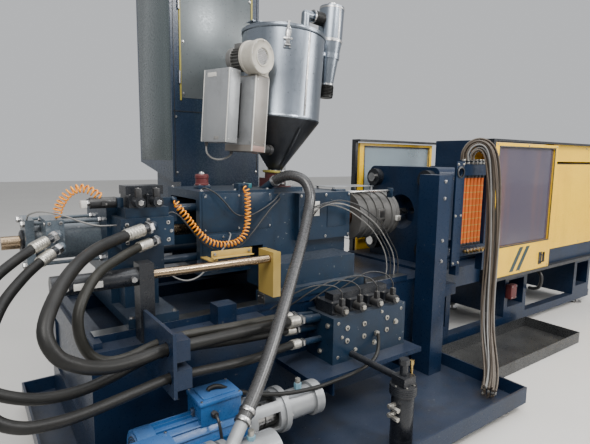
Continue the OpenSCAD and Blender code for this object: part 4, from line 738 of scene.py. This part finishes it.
# control box and heater box
shape = Shape("heater_and_control_boxes", "carriage", "light_paint", palePaint, boxPlace)
shape.block((-580, -110, 150), (-490, 110, 580), 4)
shape.panel((-580, -104, 156), (0, 208, 0), (0, 0, 418), toLeft, (0.06, 0.5, 0.94))
shape.panel((-574, -110, 156), (78, 0, 0), (0, 0, 418), toNear, (0.12, 0.88))
for y in (-110.5, 104.5):
    shape.block((-583.5, y, 152), (-579.5, y + 6, 578), 1.2, whitePlastic)
shape.block((-583, 0, 535), (-581.2, 78, 560), 0.6, whitePlastic)
shape.block((-583, -45, 165), (-581.2, -5, 185), 0.6, cableGrey)
shape.block((-492, -60, 190), (-428, 60, 520), 2, blackPlastic)
shape.block((-430, -175, 110), (-310, 60, 565), 4, warmGrey)
shape.panel((-430, -170, 150), (0, 225, 0), (0, 0, 405), toLeft, (0.05, 0.95))
shape.panel((-425, -175, 150), (110, 0, 0), (0, 0, 405), toNear, (0.12, 0.88), warmGrey)
shape.panel((-425, -175, 113), (110, 0, 0), (0, 0, 34), toNear, (), pinkHose)
shape.block((-432.5, -177.5, 112), (-424.5, -171.5, 563), 1.2, whitePlastic)
shape.block((-316.5, -177.5, 112), (-311.5, -172.5, 563), 1.2, whitePlastic)
for z in (300, 420):  # louvres in the far side
    for k in range(5):
        shape.block((-405, 59, z + k * 18), (-335, 64, z + k * 18 + 7), 1.5, warmGrey)
for y in (-45, 39):
    shape.block((-312, y, 420), (-277.5, y + 6, 480), 1, bareSteel)
    shape.block((-314, y - 12, 415), (-309, y + 18, 485), 1, bareSteel)
    shape.bolts(spread(-309, y + 3, (435, 465)), toRight, 5, bareSteel)
along = Matrix.Translation((-312, -70, 140)) @ Matrix.Rotation(math.radians(90), 4, "Y")
shape.turned([(0, 0), (33, 0), (34, 4), (34, 34), (30, 36)], turn=along, sides=32, finish=pinkHose)
shape.turned(ribs(27.5, 30.5, 36, 8.5, 12), turn=along, sides=32, finish=blackPlastic)
shape.turned([(30, 136), (34, 138), (34, 166), (0, 170)], turn=along, sides=32, finish=blackPlastic)
shape.turned([(0, 0), (11, 0), (11, 12), (8, 18), (8, 26), (0, 26)], at=(-560, 85, 150), axis=toBottom,
    sides=16, finish=blackPlastic)
shape.turned([(0, 0), (11, 0), (11, 12), (8, 18), (0, 18)], at=(-400, 30, 110), axis=toBottom, sides=16,
    finish=blackPlastic)
shape.done("heater_box")

# scroll blower with a finned motor behind it
shape = Shape("scroll_blower", "carriage", "cream_paint", creamPaint, boxPlace)
blower = {"centre": (-420, -215, 665), "grille": 46, "gap": 10, "finStep": 15}
centre = Vector(blower["centre"])
across = Matrix.Translation(centre) @ Matrix.Rotation(math.radians(-90), 4, "X")
shape.turned([(46, 6), (50, 0), (56, 0), (58, 4), (86, 4), (92, 0), (97.5, 1), (100, 6), (100, 22),
    (96.5, 26), (96.5, 86), (100, 90), (100, 106), (97, 110), (0, 110)], turn=across, sides=64)
shape.turned([(0, 16), (48, 16)], turn=across, sides=32, finish=blackPlastic)
for k in range(-4, 5):
    at = k * blower["gap"]
    reach = math.sqrt(blower["grille"] ** 2 - at ** 2)
    shape.block(centre + Vector((at - 1, 8, -reach)), centre + Vector((at + 1, 10, reach)), finish=bareSteel)
    shape.block(centre + Vector((-reach, 6, at - 1)), centre + Vector((reach, 8, at + 1)), finish=bareSteel)
shape.bolts(circle(centre + Vector((0, 1, 0)), "XZ", 90.5, range(0, 360, 45)), toNear, 4.2, bareSteel)
shape.block(centre + Vector((12, 40, -96)), centre + Vector((100, 108, 0)), 4)
shape.block(centre + Vector((10, 36, -100)), centre + Vector((102, 110, -92)), 1.5)
shape.turned([(0, 110), (62, 110), (65, 114), (65, 138), (58, 142), (58, 205), (70, 208), (74.5, 212),
    (74.5, 244), (70, 249), (0, 250)], turn=across, sides=48, finish=castGrey)
for angle in range(0, 360, blower["finStep"]):
    turn = across @ Matrix.Rotation(math.radians(angle), 4, "Z")
    shape.block((56, -1.4, 143), (73.5, 1.4, 207), 0.6, finish=castGrey, segments=1, turn=turn)
shape.block(centre + Vector((-35, 150, 58)), centre + Vector((35, 215, 90)), 4, castGrey)
shape.done("blower")
conduit = [(-560, 85, 124), (-557, 78, 85), (-530, 66, 58), (-490, 52, 50), (-445, 40, 60), (-410, 32, 80),
    (-400, 30, 95)]
conduit = smoothPath([boxPlace @ Vector(point) for point in conduit], 6)
finishCord(conduit, "box_conduit", 0.006, cableGrey, "carriage", "grey_rubber")
print("dryer dressed")

# ribbed caps on the housing, throat and cabinet
shape = Shape("breather_cap", "carriage", "block_paint", blockBlue)
shape.block((-2160, -60, 1449), (-2080, 20, 1474), 3)
shape.turned([(0, 0), (44, 0), (44, 8), (40, 12), (40, 40), (43, 44), (43, 60), (36, 68), (0, 70)],
    at=(-2120, -20, 1474), sides=32, finish=redPaint)
shape.turned([(18, 0), (18, 6), (13, 14), (0, 18)], at=(-2120, -20, 1543), sides=20, finish=bareSteel)
shape.screws(spread((-2150, -2090), (-50, 10), 1474), toTop, 6, bareSteel)
shape.done()

# clip ring round the throat under the hopper
shape = Shape("throat_clip_ring", "carriage", "guard_paint", oliveYellow, dryerPlace)
shape.turned([(71, 0), (84, 0), (87, 4), (87, 12), (84, 16), (71, 16)], at=(0, 0, -6), sides=40)
shape.block((-10, -104, -4), (10, -84, 14), 2, bareSteel)
shape.bolt((-12, -96, 5), toLeft, 6, bareSteel)
shape.done()

# inset panel, hinge, trims and seams of the cabinet's near side, and a painted sheen sheet on its end face
shape = Shape("cabinet_panel_and_trims", "frame", "grey_sheet", cabinetGrey)
shape.block((-1984, 618, 2081), (-1391, 627, 2889), 2)
shape.bolts(spread((-1968, -1407), 618, (2110, 2480, 2860)), toNear, 9, bareSteel)
shape.block((-1996, 612, 2060), (-1984, 622, 2905), 2, oliveYellow)
shape.block((-1396, 612, 2060), (-1384, 622, 2905), 2, oliveYellow)
for z in (2180, 2700):
    shape.rod((-1999, 609, z), (-1999, 609, z + 90), 8, bareSteel, sides=16)
# a thin grey green sheet over the cabinet's dark blue end face: painted sheen where the end catches the light
shape.block((-2062, 640, 1620), (-2058.5, 1340, 2930), 1, paintedSheenGreen)
for x in (-2040, -1340):
    shape.block((x - 2, 616, 1500), (x + 2, 621, 2930), finish=blackPlastic)
shape.block((-2052, 616, 1980), (-1328, 620, 1985), finish=blackPlastic)
shape.bolts(spread((-2030, -1350), 619, (1530, 1940)), toNear, 8, bareSteel)
shape.done()
print("cabinet dressed")


# crimped ends, nuts and couplings of the pressure hoses
def addFerrule(shape, line, radius, long):
    place = Matrix.Translation(line[0]) @ turnTo(line[3] - line[0])
    shape.turned([(radius * 0.8, -4), (radius + 4, 0), (radius + 5.5, 3),
        *ribs(radius + 3.5, radius + 6, 6, (long - 20) / 5, 5), (radius + 5.8, long - 10), (radius + 4, long),
        (radius * 0.9, long + 1)], turn=place, sides=32)
    shape.turned([(radius * 0.6, -26), (radius * 0.92, -24), (radius * 0.92, -4), (radius * 0.6, -2)],
        turn=place, sides=24, finish=oilyBlack)
    shape.nut((0, 0, -52), (0, 0, -26), radius * 1.22, bareSteel, 1.5, place)


def addClip(shape, start, heights, turn):  # a band clip with its screw
    shape.turned([(30, start), *((r, start + h) for r, h in heights), (33, start + heights[-1][1])],
        turn=turn, sides=32)
    middle = start + heights[-1][1] / 2
    shape.rod((36, -12, middle), (36, 12, middle), 4.5, sides=10, turn=turn)


def toMillimetres(line):
    return [machinePlace.inverted() @ point for point in line]


for where, body in (("carriage", "carriage"), ("bed", "frame")):
    shape = Shape("hose_ends_" + where, body, "bare_steel", zincPlate)
    for hoseName in ("hose_main", "hose_feed", "hose_upper", "hose_lower"):
        line, radius = toMillimetres(hoseLines[hoseName]), pressureHoses[hoseName][1] * 1000
        addFerrule(shape, line if where == "carriage" else line[::-1], radius, 100 if radius > 25 else 78)
    shape.done()
grey = toMillimetres(hoseLines["hose_suction"])
shape = Shape("grey_hose_clip_top", "carriage", "bare_steel", bareSteel)
addClip(shape, 4, ((37.5, 0), (38.5, 4), (38.5, 16), (37.5, 20)),
    Matrix.Translation(grey[0]) @ turnTo(grey[3] - grey[0]))
shape.done()
shape = Shape("grey_hose_clips_low", "frame", "bare_steel", bareSteel)
place = Matrix.Translation(grey[-1]) @ turnTo(grey[-4] - grey[-1])
for start in (4, 50):
    addClip(shape, start, ((37.5, 0), (38.5, 4), (38.5, 14), (37.5, 18)), place)
shape.done()
print("hose ends made")


# the carriage: valves, cover plates, screws, arm and guide bar
shape = Shape("injection_valve_coils", "carriage", "dark_paint", blockBlue)
shape.screws(spread((-2700, -2490), -412, (1220, 1310)), toNear, 10.5, bareSteel)
for x in (-2645, -2555):
    shape.coil((x, -395, 1422), (x, -478, 1422), 26, toTop, bareSteel)
    shape.coil((x, -245, 1422), (x, -196, 1422), 26, toTop, bareSteel)
    for y in (-385, -255):
        for side in (-27, 27):
            shape.screw((x + side, y, 1455), toTop, 5, bareSteel)
shape.block((-2722, -345, 1390), (-2692, -275, 1440), 3)
shape.coil((-2722, -310, 1416), (-2860, -310, 1416), 28, toNear, bareSteel)
shape.block((-2888, -330, 1394), (-2860, -290, 1430), 4, whitePlastic)
for x, z in ((-2715, 1265), (-2475, 1265), (-2595, 1205), (-2595, 1330)):
    shape.bolt((x, -419, z), toNear, 8, bareSteel)
shape.done()

shape = Shape("housing_plates_and_screws", "carriage", "block_paint", blockBlue)
for x0, x1, y, z0, z1 in ((-2225, -1745, -250, 1205, 1435), (-2225, -1960, -250, 965, 1190)):
    shape.block((x0, y - 4, z0), (x1, y, z1), 1.5)
    shape.screws(spread((x0 + 18, (x0 + x1) / 2, x1 - 18), y - 4, (z0 + 16, z1 - 16)), toNear, 6, bareSteel)
shape.screws(spread((-1535, -1325, -1115), -280, (1118, 1402)), toNear, 9, bareSteel)
shape.block((-1452, -282, 1262), (-1378, -280, 1362), 0.6, whitePlastic)
shape.block((-1310, -284, 1180), (-1140, -280, 1350), 1.5)
shape.bolts(spread((-2215, -1995, -1765), (-225, 225), 1450), toTop, 10, bareSteel)
shape.block((-1880, -95, 1450), (-1800, -35, 1482), 4, tealPaint)
shape.bolt((-1840, -65, 1482), toTop, 8, bareSteel)
for y in (-470, 470):  # wipers of the slide shoes
    for x0, x1 in ((-1960, -1950), (-1150, -1140)):
        shape.block((x0, y - 36, 801), (x1, y + 36, 856), 1, blackPlastic)
        for side in (-22, 22):
            shape.bolt((x0 if x0 < -1500 else x1, y + side, 836), (-1 if x0 < -1500 else 1, 0, 0), 5,
                bareSteel)
shape.done()

# guide bar, its bracket and the sheet over the barrel
shape = Shape("barrel_guide_bar_and_sheet", "carriage", "bare_steel", chromeRod)
shape.block((-1180, -215, 1375), (-1085, -160, 1432), 5, blockBlue)
shape.rod((-1090, -188, 1405), (-560, -188, 1405), 11, sides=24, bevel=2)
shape.block((-610, -210, 1350), (-580, -165, 1425), 4, blockBlue)
shape.block((-1120, -110, 1437), (-700, 110, 1440), 1, palePaint)
for x in (-1110, -720):
    for y in (-100, 90):
        shape.block((x, y, 1360 if x < -900 else 1370), (x + 16, y + 10, 1438), 1, palePaint)
for x in (-880, -500):  # sheet joints and screws on the ribbed cover
    shape.turned([(180.5, 0), (183, 1), (183, 9), (180.5, 10)], at=(x, 0, 1200), axis=toRight, sides=64,
        finish=castGrey)
shape.block((-720, -196, 1180), (-640, -178, 1262), 3, castGrey)
shape.block((-705, -199, 1195), (-655, -195, 1247), 2, blackPlastic)
shape.block((-520, -206, 1160), (-475, -180, 1200), 4, whitePlastic)
for k in range(4):
    shape.block((-514 + k * 11, -208, 1163), (-508 + k * 11, -205, 1197), 0.8, blackPlastic)
shape.done()

# tie rod nuts and port plates of the injection cylinder
shape = Shape("injection_cylinder_nuts", "carriage", "bare_steel", bareSteel)
for y in (-105, 105):
    for z in (1095, 1305):
        shape.nut((-3128, y, z), (-3109, y, z), 17, bevel=1.5)
        shape.nut((-2750, y, z), (-2766, y, z), 17, bevel=1.5)
shape.turned([(36, 0), (60, 0), (62, 3), (62, 12), (52, 18), (36, 18)], at=(-3110, 0, 1200), axis=toLeft,
    sides=40, finish=oilyBlack)
for y, z in ((-270, 1200), (-80, 1200), (-270, 1320), (-80, 1320)):
    shape.screw((-3040, y, z), toLeft, 9)
shape.screws(spread((-3025, -2975), -290, (1196, 1324)), toNear, 8)
for x in (-2735, -2465):  # foot bolts of the rear yoke
    for y in (-475, 475):
        shape.bolt((x + (25 if x < -2600 else -25), y, 850), toTop, 11)
shape.done()

# yellow angle arm on the housing
shape = Shape("yellow_angle_arm", "carriage", "guard_paint", angleYellow)
shape.block((-2240, -402, 1085), (-1980, -396, 1125), 1)
shape.block((-2240, -430, 1085), (-1980, -398, 1091), 1)
shape.block((-2240, -400, 1060), (-2200, -250, 1068), 1)
shape.block((-2216, -402, 1060), (-2200, -396, 1090), 1)
shape.bolt((-2220, -402, 1106), toNear, 8, bareSteel)
shape.bolt((-2000, -402, 1106), toNear, 8, bareSteel)
shape.done()
print("carriage dressed")

# the bed: cylinder foot, motors, pumps, filter and manifold
shape = Shape("carriage_cylinder_fittings", "frame", "dark_paint", oilyBlack)
shape.bolts(spread((-2690, -2640), (-583, -517), 762), toTop, 10, bareSteel)
shape.turned([(24, 0), (43, 0), (46, 3), (46, 20), (43, 24), (24, 24)], at=(-2660, -550, 1080), axis=toRight,
    sides=36)
shape.screws(circle((-2636, -550, 1080), "YZ", 34, range(45, 405, 90)), toRight, 5, bareSteel)
for x in (-3020, -2730):
    shape.nut((x, -590, 1080), (x, -620, 1080), 14, bareSteel)
for x0 in (-2985, -2915):
    shape.block((x0, -596, 1062), (x0 + 52, -593, 1092), 0.6, whitePlastic)
shape.done()

shape = Shape("motor_lids_and_cowls", "frame", "motor_paint", brightBlue)
motors = {"axis": 370, "rearBolts": 108}
for x, y, boxX in ((-2790, -880, -2560), (-3060, -1150, -2960)):
    shape.block((boxX - 7, y - 82, 552), (boxX + 207, y + 82, 574), 7)
    shape.block((boxX + 20, y - 58, 573), (boxX + 180, y + 58, 580), 4)
    for dx in (6, 194):
        for dy in (-70, 70):
            shape.screw((boxX + dx, y + dy, 574), toTop, 6, bareSteel)
    shape.nut((boxX + 60, y - 75, 510), (boxX + 60, y - 100, 510), 16, blackPlastic)
    rear = Matrix.Translation((x - 42, y, motors["axis"])) @ turnTo(toRight)
    shape.turned([(0, 4), (30, 4), (32, 0), (100, 0), (116, 6), (123, 20), (123.5, 78), (121, 80)], turn=rear,
        sides=56)
    for k in range(1, 6):
        shape.turned([(30 + k * 12, -1), (36 + k * 12, -1)], turn=rear, sides=48, finish=blackPlastic)
    places = circle((x + 452, y, motors["axis"]), "YZ", motors["rearBolts"], range(30, 390, 60))
    shape.bolts(places, toLeft, 8.5, bareSteel)
shape.block((-2905, -1272, 392), (-2805, -1262, 442), 1, whitePlastic)
shape.rod((-2565, -880, 486), (-2565, -880, 520), 12, bareSteel, sides=16)
shape.done()

shape = Shape("pump_bolts_and_ports", "frame", "bare_steel", bareSteel)
for x, y, radius in ((-2338, -880, 108), (-2108, -880, 88), (-1904, -880, 70), (-2608, -1150, 108),
        (-2352, -1150, 70)):
    shape.bolts(circle((x + 28, y, motors["axis"]), "YZ", radius, range(0, 360, 60)), toRight, 8)
for y, x in ((-880, -1860), (-1150, -2300)):
    shape.turned([(0, 4), (30, 4), (34, 0), (60, 0)], at=(x + 1, y, 370), axis=toLeft, sides=32,
        finish=zincPlate)
    shape.nut((x - 120, y, 440), (x - 120, y, 478), 20, finish=clampBlue, bevel=1.5)
    shape.rod((x - 120, y, 476), (x - 120, y, 500), 14, zincPlate, sides=20)
shape.done()

shape = Shape("filter_rings_and_fittings", "frame", "dark_paint", oilyBlack)
filterSpot = {"x": -1480, "y": -1165}
x, y = filterSpot["x"], filterSpot["y"]
shape.turned([(0, 3), (24, 3), (30, 0), (60.5, 0), (62.5, 4), (62.5, 28), (60.5, 32)], at=(x, y, 120),
    sides=40)
shape.turned(ribs(72.2, 74, 0, 11, 4), at=(x, y, 399), sides=40)
shape.turned([(60.5, 0), (61.8, 2), (61.8, 300), (60.5, 302)], at=(x, y, 90), sides=48)
shape.screws(circle((x, y, 450), "XY", 58, range(0, 360, 60)), toTop, 6, zincPlate)
shape.nut((x + 45, y, 470), (x + 78, y, 470), 16, brassPart)
shape.rod((x + 60, y, 470), (x + 60, y, 560), 9, brassPart, sides=16)
shape.nut((x + 60, y, 545), (x + 60, y, 570), 15, brassPart)
for z in (300, 350):
    shape.nut((x - 62, y, z), (x - 110, y, z), 13, zincPlate)
    shape.rod((x - 100, y, z), (x - 100, y - 45, z), 10, zincPlate, sides=16)
    shape.nut((x - 100, y - 30, z), (x - 100, y - 62, z), 14, zincPlate)
shape.done()

bedCoils = {"first": -1555, "pitch": 145}
shape = Shape("manifold_plugs_and_coils", "frame", "block_paint", blockBlue)
for x in (-1520, -1380, -1180):
    for z in (640, 560):
        shape.rod((x, -735, z), (x, -756, z), 16.5, zincPlate, sides=24, bevel=1.5)
        shape.nut((x, -756, z), (x, -757, z), 8, finish=blackPlastic, bevel=0)
shape.screws(spread((-1590, -1050), -745, (470, 680)), toNear, 10.5, zincPlate)
for x, z, size in ((-1290, 500, 14), (-1100, 600, 16), (-1450, 490, 11), (-1230, 690, 9), (-1560, 590, 9)):
    shape.bolt((x, -750, z), toNear, size, zincPlate)
for y, z in ((-700, 660), (-560, 660), (-630, 480)):
    shape.bolt((-1630, y, z), toLeft, 14, zincPlate)
    shape.bolt((-1010, y, z), toRight, 14, zincPlate)
for i in range(4):
    x = bedCoils["first"] + i * bedCoils["pitch"]
    shape.coil((x, -700, 755), (x, -782, 755), 28.5, toTop, zincPlate)
    for dx in (-33, 33):
        shape.screws(spread(x + dx, (-685, -555), 790), toTop, 5, zincPlate)
    shape.rod((x, -540, 755), (x, -495, 755), 24, blackPlastic, sides=24, bevel=3)
shape.nut((-1276, -750, 560), (-1276, -768, 560), 18, zincPlate)
shape.done()
print("bed dressed")

# water distributor: fittings, taps and tube caps
taps = {"hoses": -350, "hosePitch": 50, "tubes": -330, "tubePitch": 44, "marks": 9, "markPitch": 50}
shape = Shape("water_fittings_and_taps", "frame", "bare_steel", zincPlate)
for i in range(6):
    x = taps["hoses"] + i * taps["hosePitch"]
    shape.nut((x, -670, 1622), (x, -670, 1636), 17)
    shape.nut((x, -670, 1644), (x, -670, 1658), 15.5)
    x = taps["tubes"] + i * taps["tubePitch"]
    for z in (1008, 1520):
        shape.rod((x, -670, z), (x, -670, z + 22), 16.5, blackPlastic, sides=20, bevel=2)
    for k in range(taps["marks"]):
        shape.turned([(13, 0), (13.7, 1), (13.7, 4), (13, 5)], at=(x, -670, 1060 + k * taps["markPitch"]),
            sides=20, finish=oliveYellow)
    shape.nut((x, -700, 975), (x, -722, 975), 12, brassPart)
    shape.rod((x, -720, 975), (x, -748, 975), 9.5, brassPart, sides=16)
    shape.rod((x, -734, 975), (x, -734, 998), 6, sides=12)
    shape.block((x - 5, -768, 996), (x + 5, -728, 1000), 1)
shape.turned([(29, 0), (40, 0), (42, 3), (42, 7), (30, 9)], at=(-435, -708, 1565), axis=toNear, sides=36,
    finish=blackPlastic)
shape.bolts(spread((-465, -405), -708, (900, 1250, 1620)), toNear, 8)
shape.done()

# guards and cover: seals, stripes, handle, slot
tealStripe = makeFinish("dark teal stripe", (0.006, 0.03, 0.035), (0.01, 0.04, 0.045), rough=(0.25, 0.4),
    grain=5, bump=0.02)
shape = Shape("near_guard_trim", "near_guard", "dark_paint", guardYellow)
nearOpening, farOpening = (313, 1270, 893, 1775), (-225, 731, 893, 1775)
shape.rim(*nearOpening, 12, -546, -541, 1.5, blackPlastic)
for start in (600, 715):
    slant = Matrix.Translation((start, -545.5, 655)) @ Matrix.Shear("XY", 4, (0.72, 0))
    shape.block((0, 0, 0), (62, 1.5, 215), finish=tealStripe, turn=slant)
shape.rim(1105, 1165, 668, 788, 8, -547, -543, 1.2, blackPlastic)
shape.block((1113, -545, 676), (1157, -544, 780), finish=oilyBlack)
shape.pipe(smoothPath([(1135, -545, 690), (1135, -566, 696), (1135, -570, 728), (1135, -566, 760),
    (1135, -545, 766)], 4), 5, sides=10, finish=blackPlastic)
shape.bolts(spread((285, 780, 1285), -543, (650, 1785)), toNear, 7, bareSteel)
shape.done()
shape = Shape("far_guard_seals", "far_guard", "dark_paint", blackPlastic)
shape.rim(*farOpening, 12, 541, 546, 1.5)
shape.rim(*farOpening, 12, 503, 507, 1.5)
shape.done()
shape = Shape("cover_slots_and_bolts", "frame", "guard_paint", blackPlastic)
# black strips along both sides of the cover stand for the open slots: painted shade inside the slots
shape.block((1330, -501.5, 1622), (2660, -499, 1630))
shape.block((1330, 499, 1622), (2660, 501.5, 1630))
for x in (1345, 2010, 2670):
    for z in (805, 1785):
        for side in (-1, 1):
            shape.rod((x, side * 499, z), (x, side * 502, z), 9, bareSteel, sides=16)
for z in range(1000, 1500, 60):
    shape.block((2699, -260, z), (2704, 260, z + 24), 2, guardYellow)
shape.done()
print("guards dressed")

# platen, column and base: nuts, plates, pipes
shape = Shape("base_pipes_and_bolts", "frame", "dark_paint", bareSteel)
shape.bolts(spread(-590, -700, (930, 1080, 1380, 1500)), toNear, 11)
for y in (-330, 330):
    for z in (850, 1550):
        shape.screw((-250, y + (30 if y < 0 else -30), z), toLeft, 13)
shape.bolts(spread((-120, -60), -389, (900, 1500)), toNear, 11)
for offset, radius in ((0, 15), (52, 15)):
    shape.rod((-40, -405, 690 - offset), (1230, -405, 650 - offset), radius, sides=20, finish=blockBlue)
    for x in (80, 640, 1130):
        z = 690 - offset - (x + 40) * 40 / 1270
        shape.nut((x, -405, z), (x + 46, -405, z - 1.5), radius * 1.5)
for x in (-300, 900, 1180):
    shape.block((x, -418, 600), (x + 24, -380, 706), 2, blockBlue)
shape.pipe(smoothPath([(1290, -380, 560), (1290, -450, 560), (1292, -490, 530), (1294, -500, 470),
    (1296, -480, 400), (1298, -430, 372), (1300, -378, 370)], 4), 17, sides=16, finish=blackPlastic)
shape.block((860, -440, 330), (960, -380, 470), 6, redPaint)
shape.screws(spread((875, 945), -440, (345, 455)), toNear, 7)
shape.done()

# bright rails, and the yellow end of the carriage rod, as painted zones of the solid parts
bedBlue = zoned(deepBlue, "bed paint with bright rails", [("Z", -0.4012, -0.395), ("Y", 0.405, 0.495)],
    (0.55, 0.55, 0.54), 1.0, 0.28)
rodFinish = zoned(bronzeRod, "rod with a painted lug", [("X", -1.952, 0)], (0.35, 0.24, 0.06), 0.0, 0.45)
print("base dressed")

# cables and thin lines, in millimetres above the floor
cableRoutes = {  # body, radius, finish, route, heights between which it bends
    "housing_cable_upper": ("carriage", 0.0048, cableBlack, [
        (-2215, -205, 1453), (-2205, -255, 1470), (-2150, -277, 1440), (-2097, -285, 1388),
        (-2024, -285, 1312), (-1930, -280, 1296), (-1842, -282, 1327), (-1750, -268, 1372),
        (-1690, -242, 1412), (-1660, -215, 1424)], None),
    "housing_cable_lower": ("carriage", 0.0048, cableBlack, [
        (-2464, -300, 1330), (-2430, -312, 1348), (-2382, -312, 1320), (-2310, -302, 1235),
        (-2254, -292, 1170), (-2170, -284, 1112), (-2076, -280, 1092), (-1980, -280, 1122),
        (-1904, -282, 1190), (-1820, -280, 1280), (-1759, -276, 1340), (-1700, -258, 1378),
        (-1672, -234, 1392)], None),
    "yoke_cable": ("carriage", 0.0045, cableGrey, [
        (-2050, -252, 1195), (-2062, -290, 1186), (-2110, -330, 1140), (-2206, -348, 1062),
        (-2280, -345, 985), (-2350, -325, 958), (-2410, -285, 975), (-2446, -234, 1012)], None),
    "pressure_sensor_cable": ("carriage", 0.004, cableGrey, [
        (-3100, -110, 1326), (-3098, -200, 1362), (-3060, -300, 1385), (-2985, -350, 1372),
        (-2900, -370, 1335), (-2830, -374, 1312), (-2765, -364, 1306), (-2732, -350, 1303)], None),
    "manifold_hose": ("frame", 0.011, blackRubber, [
        (-1276, -769, 560), (-1290, -792, 508), (-1330, -818, 458), (-1409, -845, 428),
        (-1560, -880, 424), (-1757, -920, 440), (-1900, -938, 452), (-2070, -936, 470),
        (-2234, -920, 505), (-2380, -896, 560), (-2440, -886, 592), (-2480, -880, 592),
        (-2492, -880, 583)], None),
    "motor_cable": ("frame", 0.007, cableBlack, [
        (-2500, -981, 510), (-2500, -1006, 496), (-2496, -1022, 440), (-2484, -1030, 300),
        (-2450, -1034, 160), (-2400, -1030, 104), (-2350, -1020, 88)], None),
}
for k in range(4):  # sensor cables from the housing's front plate over to the bed
    x, y, rise = -1520 + 26 * k, -12 * k, 14 * (k % 2) + 6 * k
    cableRoutes["arching_cable_%d" % (k + 1)] = (None, 0.0045, cableBlack if k % 2 else cableGrey, [
        (x, -282, 1225 + 10 * k), (x + 12, -305 + y, 1290 + rise), (x + 80, -325 + y, 1325 + rise),
        (-1328 + 20 * k, -335 + y, 1338 + rise), (-1200 + 22 * k, -342 + y, 1306 + rise),
        (-1095 + 24 * k, -348 + y, 1250 + rise), (-970 + 24 * k, -352 + y, 1165 + rise),
        (-880 + 26 * k, -356 + y, 1070), (-810 + 28 * k, -360 + y, 960),
        (-785 + 28 * k, -362 + y, 860), (-790 + 28 * k, -364 + y, 800),
        (-795 + 28 * k, -366 + y, 763)], (-0.37, 0.03))
    x = bedCoils["first"] + bedCoils["pitch"] * k
    cableRoutes["coil_cable_%d" % (k + 1)] = ("frame", 0.0045, cableBlack, [
        (x, -732, 803), (x, -735, 830), (x - 8, -735, 868), (x - 50, -705, 902 + 6 * k),
        (x - 150, -650, 905 + 8 * k), (x - 255, -590, 858), (x - 325, -545, 800),
        (x - 365, -516, 763)], None)
for cableName, (body, radius, finish, route, bend) in cableRoutes.items():
    line = smoothPath([mm(*point) for point in route], 5)
    finishCord(line, cableName, radius, finish, body,
        "grey_rubber" if finish is cableGrey else "black_rubber", bend=bend, sides=10)
curlLine = {"tube": 0.0042, "coil": 0.019, "pitch": 0.021}
curl = smoothPath([mm(*point) for point in ((-2985, -240, 1342), (-2975, -262, 1400), (-2940, -292, 1462),
    (-2890, -308, 1490), (-2840, -312, 1478), (-2800, -311, 1448), (-2790, -310, 1434))], 5)
finishCord(helix(curl, curlLine["coil"], curlLine["pitch"]), "short_curly_line", curlLine["tube"], orangeLine,
    "carriage", "orange_line")
tubeOrange = zoned(deepBlue, "water distributor paint with orange tubes",
    [("Z", -0.19, 0.34), ("Y", 0.655, 0.685), ("X", -0.345, -0.095)], (0.5, 0.11, 0.02), 0.0, 0.25)
print("cables laid")


# finishes of the solid parts
nodeFinishes = (
    (bedBlue, "bed_frame"),
    (deepBlue, "clamp_base fixed_platen clamp_head moving_platen"),
    (bareSteel, "levelling_feet ejector_bar barrel nozzle screw gate_slide lid_latch pump_coupling"),
    (sheetDark, "drip_tray"),
    (chromeRod, "tie_bars clamp_ram"),
    (oilyBlack, "tie_bar_nuts guard_rails hydraulic_motor injection_valves carriage_cylinder "
     "manifold_valves filter"),
    (guardYellow, "rear_guard front_guard clamp_cover"),
    (violetPane, "rear_window"),
    (bluishPane, "front_window"),
    (cabinetBlue, "cabinet_body cabinet_door"),
    (redPlastic, "main_switch emergency_stop"),
    (palePaint, "control_panel heater_box pumps"),
    (blockBlue, "carriage_housing crosshead rear_yoke valve_block main_manifold"),
    (copperBand, "heater_bands"),
    (castGrey, "barrel_cover"),
    (bronzeRod, "piston_rod"),
    (tubeGrey, "injection_cylinder"),
    (rodFinish, "carriage_rod"),
    (redPaint, "throat_block"),
    (hopperSteel, "hopper_body hopper_lid lid_flap cyclone"),
    (creamPaint, "blower"),
    (brightBlue, "pump_motors"),
    (tubeOrange, "water_battery"),
    (blackRubber, "hose_upper hose_lower hose_main"),
    (oliveRubber, "hose_feed"),
    (greyRubber, "hose_suction"),
    (orangeLine, "coiled_air_line"),
    (brownRubber, "water_hoses"),
)
for finish, nodeNames in nodeFinishes:
    for nodeName in nodeNames.split():
        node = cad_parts[nodeName]
        node.data.materials.clear()
        node.data.materials.append(finish)
print("finishes given to the solid parts")


# the end
print("scene built")
